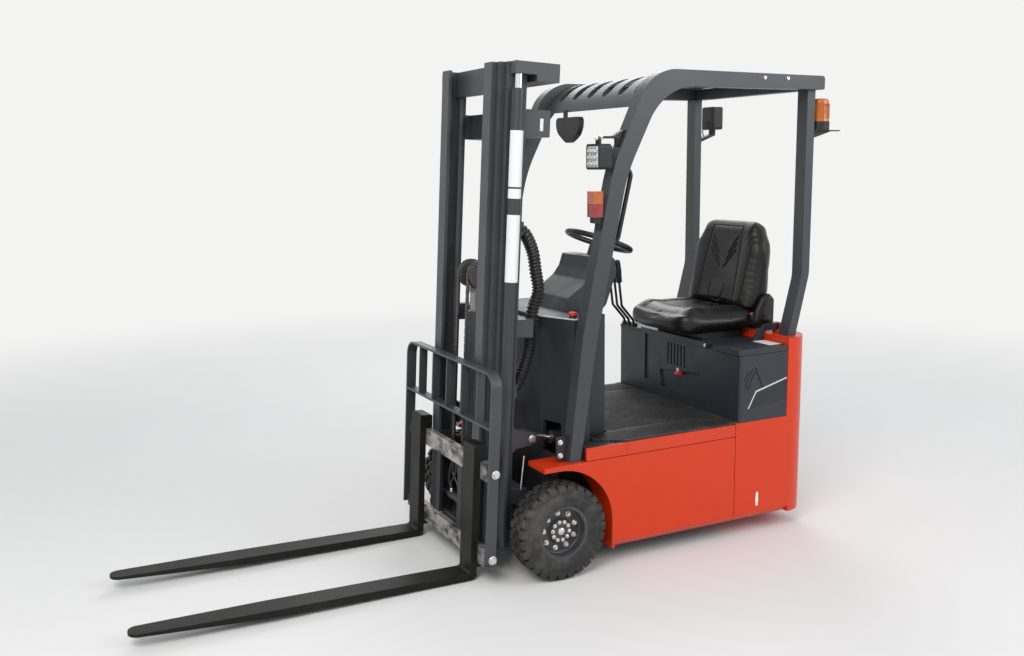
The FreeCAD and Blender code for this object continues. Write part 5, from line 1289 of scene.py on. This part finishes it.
def wrapped_label(name, low, high, first=-12, last=138, thick=0.5, steps=20):
    """A thin patch round a vertical barrel, between two angles from straight ahead."""
    angles = [math.radians(first + (last - first) * step / steps) for step in range(steps + 1)]
    outer, inner = LIFT_RADIUS + thick, LIFT_RADIUS + 0.05
    outline = [(outer * math.cos(a), outer * math.sin(a)) for a in angles]
    outline += [(inner * math.cos(a), inner * math.sin(a)) for a in reversed(angles)]
    patch = prism(name, outline, low, high)
    return moved(patch, LEAN_BACK @ Matrix.Translation((LIFT_U * MM, LIFT_Y * MM, 0)))


labels = joined("labels", [wrapped_label(f"label_{low}", low, high) for low, high in LABEL_ENDS])
add_piece("blank_labels", labels, "label_white", "mast_outer", 40)
print("labels", len(LABEL_ENDS))

# %% [markdown]
# The work lamps. A clear plate sits in each lamp's frame, with nine small cups for its diodes and,
# on the front lamp, a row of cooling fins. One cup is turned from a profile; the row rule copies
# it sideways and then copies that row upwards, so that all nine are alike.

# %% Lamp faces
LAMP_WIDE, LAMP_FRAME, LAMP_PLATE = 96, 9, 1.2
CUP_ROWS, CUP_PITCH = 3, 24
FRONT_LAMP_Y, FRONT_LAMP_FOOT, FRONT_LAMP_HIGH = 410, 1577, 96
REAR_LAMP_Y, REAR_LAMP_FOOT, REAR_LAMP_HIGH = -386, 1752, 110
FIN_COUNT, FIN_PITCH = 9, 10.5
work_low, work_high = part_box("work_lamps")
front_lamp_x = (work_high.x - AXLE_X) / MM
rear_lamp_x = (work_low.x - AXLE_X) / MM


def lamp_face(name, x, y, foot, high, facing):
    """The plate and the cups of a lamp whose face is at x; facing is 1 forwards, -1 backwards."""
    half = LAMP_WIDE / 2 - LAMP_FRAME
    low, top = foot + LAMP_FRAME, foot + high - LAMP_FRAME
    outline = [(y - half, low), (y + half, low), (y + half, top), (y - half, top)]
    back, front = sorted((x, x + facing * LAMP_PLATE))
    plate = prism(name + "_plate", outline, back, front, "YZX", bevel=0.4)
    cup = lathe(name + "_cup", [(1.2, 7), (4.2, 10.5), (4.6, 12), (1.2, 12)], 20)
    corner = Vector((x * MM, (y - CUP_PITCH) * MM, (foot + high / 2 - CUP_PITCH) * MM))
    cup = aimed(cup, corner, (facing, 0, 0))
    row = repeat("row", cup, Count=CUP_ROWS, Step=(0, CUP_PITCH * MM, 0), Finish=finishes["zinc"])
    cups = repeat("row", row, Count=CUP_ROWS, Step=(0, 0, CUP_PITCH * MM), Finish=finishes["zinc"])
    return moved(plate, TRUCK), moved(cups, TRUCK)


faces = [lamp_face("front_lamp", front_lamp_x, FRONT_LAMP_Y, FRONT_LAMP_FOOT, FRONT_LAMP_HIGH, 1),
         lamp_face("rear_lamp", rear_lamp_x, REAR_LAMP_Y, REAR_LAMP_FOOT, REAR_LAMP_HIGH, -1)]
add_piece("lamp_glass", joined("lamp_plates", [plate for plate, cups in faces]), "lamp_glass", "chassis")
add_piece("lamp_cups", joined("lamp_cup_rows", [cups for plate, cups in faces]), "zinc", "chassis")
fin = block("fin", (front_lamp_x - 60, front_lamp_x - 52), (FRONT_LAMP_Y - 44, FRONT_LAMP_Y - 41),
            (FRONT_LAMP_FOOT + 7, FRONT_LAMP_FOOT + 89), bevel=0.6)
fins = repeat("row", fin, Count=FIN_COUNT, Step=(0, FIN_PITCH * MM, 0), Finish=finishes["black_plastic"])
add_piece("lamp_fins", moved(fins, TRUCK), "black_plastic", "chassis")
print("lamp cups", len(faces) * CUP_ROWS ** 2, "and fins", FIN_COUNT)

# %% [markdown]
# Each lamp has a thin lead that runs into its bracket. The points of the leads are listed,
# and the same sweep that makes the hoses rounds them off.

# %% Lamp leads
LEAD_RADIUS = 2.6
LEAD_POINTS = {
    "front": ((-228, 412, 1600), (-246, 428, 1576), (-250, 434, 1530), (-262, 438, 1500)),
    "rear": ((-1328, -392, 1790), (-1312, -402, 1762), (-1316, -405, 1730), (-1326, -402, 1712))}
leads = [swept(name + "_lead", [truck(*point) for point in points], LEAD_RADIUS, steps=8, sides=8)
         for name, points in LEAD_POINTS.items()]
add_piece("lamp_cables", joined("lamp_leads", leads), "hose_rubber", "chassis", 60)
print("lamp leads", len(leads))

# %% [markdown]
# The mirror's pane is a thin plate in the face of its shell, on the side of the driver. Its
# outline follows the shell: level on top and round below.

# %% Mirror pane
PANE_OUTLINE = ((-232, -14), (-226, -7), (-216, -6), (-60, -6), (-50, -7), (-46, -16), (-50, -54),
                (-64, -76), (-96, -96), (-139, -104), (-182, -96), (-212, -76), (-228, -54))
shell_low, shell_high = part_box("mirror")
shell_back = (shell_low.x - AXLE_X) / MM
pane_outline = [(y, shell_high.z / MM + below_top) for y, below_top in PANE_OUTLINE]
pane = prism("mirror_pane", pane_outline, shell_back - 1.6, shell_back + 0.4, "YZX", bevel=0.6)
add_piece("mirror_pane", moved(pane, TRUCK), "mirror_glass", "chassis")
print("mirror pane points", len(PANE_OUTLINE))

# %% [markdown]
# Fine upright ribs stand round the beacon's lens and break its shine into lines. The ring rule
# copies one rib round its axis, and the ring is then stood upright on the lens.

# %% Beacon ribs
BEACON_RIBS = 40
beacon_low, beacon_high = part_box("beacon_lens")
beacon_middle = (beacon_low + beacon_high) / 2
beacon_radius = (beacon_high.y - beacon_low.y) / 2 / MM
rib = block("rib", (-1.2, 1.2), (10, 74), (beacon_radius - 2.2, beacon_radius + 0.6), bevel=0.5)
ribs = repeat("ring", rib, Count=BEACON_RIBS, Finish=finishes["amber_lens"])
ribs = aimed(ribs, Vector((beacon_middle.x, beacon_middle.y, beacon_low.z)), (0, 0, 1))
add_piece("beacon_ribs", ribs, "amber_lens", "chassis")
print("beacon ribs", BEACON_RIBS)

# %% [markdown]
# Bolts hold the load backrest, the guard's feet and roof, the lamps and the tilt cylinders' pins.
# A body's bolts are joined into one piece, which then moves with that body.

# %% Bolts
BOLT_SIZES = {"big": (22, 11, 17), "mid": (15, 8, 11), "small": (10, 5, 7.5)}
heads = {size: bolt_head(size + "_bolt", *numbers) for size, numbers in BOLT_SIZES.items()}
bolts = {"side_shift": [], "mast_outer": [], "chassis": []}
for side in (1, -1):
    outwards = (0, side, 0)
    for s in (434, 99):
        bolts["side_shift"].append(("big", mast(287, side * 430, s), outwards))
    bolts["mast_outer"].append(("big", truck(30, side * 290, 525), outwards))
    for z in (478, 531):
        bolts["chassis"].append(("mid", truck(-27, side * 412, z), outwards))
    for x in (-972, -1093):
        bolts["chassis"].append(("small", truck(x, side * 440, 1934), outwards))
for x, z in ((-175, 1694), (-196, 1700)):
    bolts["chassis"].append(("small", truck(x, 434, z), (0, 1, 0)))
for body, places in bolts.items():
    meshes = [aimed(heads[size], place, outwards) for size, place, outwards in places]
    add_piece(f"bolts_{body}", joined(f"bolts_on_{body}", meshes), "zinc", body)
print("bolts", {body: len(places) for body, places in bolts.items()})

# %% [markdown]
# A steel plate on each side ties the guard's leg to the chassis, under the two bolts of its foot.
# It is one outline in side view, given a thickness.

# %% Guard feet
FOOT_OUTLINE = [(-78, 458), (-14, 458), (-10, 464), (-10, 548), (-16, 554), (-66, 554)]
FOOT_THICK, FOOT_INSIDE = 8, 404
feet = [prism(f"foot_{low}", FOOT_OUTLINE, low, low + FOOT_THICK, "XZY", bevel=0.8)
        for low in (FOOT_INSIDE, -FOOT_INSIDE - FOOT_THICK)]
add_piece("guard_feet", moved(joined("feet", feet), TRUCK), "frame_black", "chassis")
print("guard feet", len(feet))

# %% [markdown]
# A thick bundle of hoses in a spiral guard hangs between the left rail and the cowl. Its points are
# listed and keep 5 mm from the cowl when the mast tilts back. The sweep's radius rises and
# falls as it winds, which makes the guard's ridge without a second mesh.

# %% Hose bundle
BUNDLE_ROUTE = [mast(146, 262, 1352), mast(112, 262, 1326), mast(70, 246, 1262), truck(-20, 234, 1185),
                truck(-34, 228, 1105), truck(-10, 227, 1030), truck(5, 228, 965), truck(14, 232, 870),
                mast(104, 246, 762), mast(146, 262, 716)]
BUNDLE_RADIUS, GUARD_RIDGE, GUARD_PITCH = 20, 6.0, 15
bundle = swept("bundle", BUNDLE_ROUTE, BUNDLE_RADIUS, steps=54, sides=18, ridge=GUARD_RIDGE,
               pitch=GUARD_PITCH)
add_piece("hose_bundle", bundle, "hose_rubber", "mast_outer", 60)
clamps = [moved(block("clamp", (132, 147), (240, 284), (s - 26, s + 26), bevel=2), LEAN_BACK)
          for s in (1352, 716)]
add_piece("hose_clamps", joined("hose_clamp_set", clamps), "mast_grey", "mast_outer")
print("bundle faces", len(bundle.polygons))

# %% [markdown]
# Two small things ride on the outer mast: a blank label on the upper tie's hook, and a thin bright
# rod low down behind the left rail.

# %% Mast small parts
hook_label = moved(block("hook_label", (71, 85), (291.9, 292.6), (1722, 1768)), LEAN_BACK)
add_piece("hook_label", hook_label, "label_white", "mast_outer", 0)
thin_rod = swept("thin_rod", [truck(90, 330, 474), truck(106, 330, 338)], 3.5, steps=4, sides=12)
add_piece("thin_rod", thin_rod, "zinc", "mast_outer")
print("mast small parts", 2)

# %% [markdown]
# The side shift cylinder lies across the carriage, behind the sliding frame, on a rod that is
# fixed to the carriage's left and right cheeks. Four thin hoses with bright nuts feed it.

# %% Side shift cylinder and its hoses
SHIFT_U, SHIFT_S = 250, 215
CYLINDER_RADIUS, GLAND_RADIUS, ROD_RADIUS = 16, 18, 9
CHEEK_INSIDE = 148
NUT_U, NUT_S = 260, 384
HOSE_RADIUS = 5.2


def rod_across(name, radius, low, high, steps=32):
    """A solid rod along Y on the side shift cylinder's axis."""
    shape = lathe(name, [(low, 0), (low, radius), (high, radius), (high, 0)], steps)
    return moved(shape, LEAN_BACK @ Matrix.Translation((SHIFT_U * MM, 0, SHIFT_S * MM)))


cylinder = [rod_across("barrel", CYLINDER_RADIUS, -60, 58), rod_across("gland", GLAND_RADIUS, 46, 62),
            rod_across("fixed_rod", ROD_RADIUS, -CHEEK_INSIDE, CHEEK_INSIDE),
            moved(block("rod_foot", (SHIFT_U - 10, SHIFT_U + 10), (-CHEEK_INSIDE, 12 - CHEEK_INSIDE),
                        (SHIFT_S - 20, SHIFT_S + 20), bevel=2), LEAN_BACK)]
add_piece("shift_barrel", joined("shift_barrel_set", cylinder), "frame_black", "carriage")
up_the_mast = mast(0, 0, 1) - mast(0, 0, 0)
fittings = []
for u, y, s in ((SHIFT_U, -48, SHIFT_S + 15), (SHIFT_U, 36, SHIFT_S + 15),
                (NUT_U, -20, NUT_S), (NUT_U, 20, NUT_S)):
    fittings.append(aimed(bolt_head(f"fitting_{y}", 14, 13, 9), mast(u, y, s), up_the_mast))
add_piece("hose_fittings", joined("fitting_set", fittings), "zinc", "carriage")
hoses = []
for low_y, high_y, swing in ((-48, -20, -34), (36, 20, 30), (-48, 6, 22), (36, -6, -26)):
    hoses.append(swept(f"hose_{low_y}_{high_y}", [
        mast(SHIFT_U, low_y, SHIFT_S + 22), mast(SHIFT_U + 5, low_y + swing * 0.5, SHIFT_S + 62),
        mast(NUT_U, swing + low_y * 0.3, SHIFT_S + 104), mast(NUT_U + 1, high_y + swing * 0.3, SHIFT_S + 142),
        mast(NUT_U, high_y, NUT_S + 2)], HOSE_RADIUS, steps=10, sides=10))
add_piece("shift_hoses", joined("shift_hose_set", hoses), "hose_rubber", "carriage", 60)
print("side shift hoses", len(hoses), "nuts", len(fittings))

# %% [markdown]
# The ribbed mat: the same crosswise rib copied in rows, a wide row between the seat and the cowl
# and a narrow one on either side of it, and a plain strip along the foot of the rear housing.

# %% Mat ribs
RIB_PITCH = 15
RIB_ROWS = ((-292, 292, 36), (318, 438, 42), (-438, -318, 42))
mat_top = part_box("floor_mat")[1].z / MM
ribs = []
for low_y, high_y, count in RIB_ROWS:
    rib = block("rib", (-843, -836), (low_y, high_y), (mat_top - 0.4, mat_top + 2.6), bevel=1.0)
    ribs.append(repeat("row", rib, Count=count, Step=(RIB_PITCH * MM, 0, 0), Finish=finishes["mat_rubber"]))
add_piece("mat_ribs", moved(joined("mat_rib_rows", ribs), TRUCK), "mat_rubber", "chassis")
skirting = block("skirting", (-869, -845), (-455, 455), (506, 514.5), bevel=2)
add_piece("mat_skirting", moved(skirting, TRUCK), "mat_rubber", "chassis")
print("mat ribs", sum(count for low_y, high_y, count in RIB_ROWS))

# %% [markdown]
# Each side of the rear housing has a silver stripe over a dark blank panel. The side frame below
# has a small white spot, and the deck's edge strip a short dark strip of painted shade, where a seam's
# groove would be in shadow. They are patches under a millimetre thick, drawn once in side view and mirrored.

# %% Side trim
HOUSING_FACE, FRAME_FACE = 458.9, 459.9
STRIPE = [(-912, 566), (-918, 566), (-957, 634), (-1122, 677), (-1122, 683), (-954, 640)]
PANEL = [(-922, 564), (-960, 630), (-1122, 672), (-1122, 586)]
SPOT = [(-970, 130), (-980, 130), (-983, 160), (-980, 192), (-970, 192), (-967, 160)]
# The seam patch is painted shade: a dark strip where a groove's shadow falls.
SEAM_SHADE = [(-305, 456), (-303.4, 456), (-303.4, 505), (-305, 505)]


def side_patches(name, outline, face, thick):
    """A patch drawn in x and z, standing thick millimetres out of both sides at face."""
    patch = prism(name, outline, face, face + thick, "XZY")
    return [moved(patch, TRUCK @ flip) for flip in (Matrix.Identity(4), MIRROR)]


side_trim = {
    "stripe_silver": side_patches("stripe", STRIPE, HOUSING_FACE, 0.8),
    # The dark panel is a decal; the dark seam strip is painted shade.
    "decal_dark": (side_patches("panel", PANEL, HOUSING_FACE, 0.5)
                   + side_patches("seam", SEAM_SHADE, FRAME_FACE - 0.1, 0.5)),
    "label_white": side_patches("spot", SPOT, FRAME_FACE, 0.5)}
for finish, meshes in side_trim.items():
    add_piece("trim_" + finish, joined("trim_set_" + finish, meshes), finish, "chassis", 0)
print("side patches", sum(len(meshes) for meshes in side_trim.values()))

# %% [markdown]
# The lid carries a blank plate, a round lock and a hook that catches its front edge, and rides up
# with the seat. The battery plug's red pull and its tag stay on the chassis.

# %% Lid and plug
plate = block("lid_plate", (-1118, -1052), (316, 424), (821.9, 823.0))
add_piece("lid_plate", moved(plate, TRUCK), "label_white", "seat_lid", 0)
lock = lathe("lock", [(0, 0.5), (0, 11), (6, 11), (8, 8), (8, 0.5)], 28)
add_piece("lid_lock", aimed(lock, truck(-862, 236, 809), (1, 0, 0)), "zinc", "seat_lid")
hook_outline = [(-862, 800), (-852, 802), (-848, 818), (-852, 828), (-862, 826)]
hook = prism("hook", hook_outline, 250, 264, "XZY", bevel=1.5)
add_piece("lid_hook", moved(hook, TRUCK), "black_plastic", "seat_lid")
pull_outline = [(-875, 640), (-856, 636), (-850, 644), (-853, 655), (-875, 657)]
pull = prism("pull", pull_outline, 22, 48, "XZY", bevel=2)
add_piece("plug_pull", moved(pull, TRUCK), "red_plastic", "chassis")
tag = block("tag", (-874.8, -873.6), (4, 22), (644, 668))
add_piece("plug_tag", moved(tag, TRUCK), "label_white", "chassis", 0)
print("lid parts 3, plug parts 2")

# %% [markdown]
# A thin pale bead runs round the top of the cowl, a painted highlight on its edge, and a red mushroom
# button stands on it, the emergency stop. The button is two turned shapes, a black base and a red head.

# %% Painted highlight on the cowl edge, and stop button
COWL_TOP = 1000
COWL_EDGE = [(-53, -198), (-53, 198), (-119, 364), (-188, 364)]
corners = [truck(x, y, COWL_TOP) for x, y in COWL_EDGE]
# A pale bead along the cowl's top edge: painted highlight where the edge catches light.
lip = joined("lip", [swept(f"lip_{index}", pair, 3.2, steps=4, sides=8)
                     for index, pair in enumerate(zip(corners, corners[1:]))])
add_piece("cowl_lip", lip, "stripe_silver", "chassis")
stop_place = truck(-132, 334, COWL_TOP)
stop_base = lathe("stop_base", [(0, 0.5), (0, 17), (9, 15), (9, 0.5)], 28)
stop_head = lathe("stop_head", [(9, 0.5), (9, 11), (13, 18), (20, 19), (25, 15), (27, 6), (27, 0.5)], 32)
add_piece("stop_base", aimed(stop_base, stop_place, (0, 0, 1)), "black_plastic", "chassis")
add_piece("stop_head", aimed(stop_head, stop_place, (0, 0, 1)), "red_plastic", "chassis")
print("cowl edge runs", len(corners) - 1)

# %% [markdown]
# The steering wheel's cap is turned about the column's axis, which leans back from upright, and
# rides on the wheel.

# %% Wheel cap
COLUMN_LEAN = math.radians(20)
wheel_axis = Vector((-math.sin(COLUMN_LEAN), 0, math.cos(COLUMN_LEAN)))
horn = lathe("horn", [(0, 0.5), (0, 27), (4, 26), (7, 20), (8, 0.5)], 36)
add_piece("horn_cap", aimed(horn, truck(-458, 0, 1268), wheel_axis), "black_plastic", "steering_wheel")
print("wheel cap faces", len(horn.polygons))

# %% [markdown]
# Beside the seat stand the belt's buckle and reel and the two hip wings, which keep the driver in
# when the truck leans. All are moulded plastic: an outline in side view, a width and a round edge.

# %% Belt and hip wings
BUCKLE = [(-1130, 880), (-1102, 880), (-1090, 930), (-1112, 938)]
BUTTON = [(-1106, 928), (-1092, 924), (-1090, 932), (-1104, 938)]
REEL = [(-1150, 862), (-1090, 862), (-1084, 900), (-1112, 922), (-1150, 915)]
WING = [(-1216, 872), (-1128, 872), (-1108, 896), (-1122, 946), (-1152, 1004), (-1190, 1018), (-1218, 990)]
WING_INSIDE, WING_OUTSIDE = 238, 262


def moulded_part(name, outline, low, high, bevel, segments=1):
    """A plastic part with its outline in x and z, from low to high across the truck."""
    return prism(name, outline, low, high, "XZY", bevel=bevel, segments=segments)


buckle = moulded_part("buckle", BUCKLE, 240, 254, 3)
button = moulded_part("button", BUTTON, 242, 252, 1)
reel = moulded_part("reel", REEL, -WING_OUTSIDE, -WING_INSIDE, 6)
wings = [moulded_part("wing_left", WING, WING_INSIDE, WING_OUTSIDE, 8, 3),
         moulded_part("wing_right", WING, -WING_OUTSIDE, -WING_INSIDE, 8, 3)]
knob = lathe("wing_knob", [(0, 0.5), (0, 17), (10, 16), (14, 11), (14, 0.5)], 28)
wings.append(aimed(knob, Vector((-1170, WING_OUTSIDE, 905)) * MM, (0, 1, 0)))
add_piece("belt_buckle", moved(buckle, TRUCK), "black_plastic", "seat_lid")
add_piece("belt_button", moved(button, TRUCK), "red_plastic", "seat_lid")
add_piece("belt_reel", moved(reel, TRUCK), "black_plastic", "seat_lid")
add_piece("hip_wings", moved(joined("wing_set", wings), TRUCK), "black_plastic", "seat_lid")
print("hip wings", len(wings) - 1)
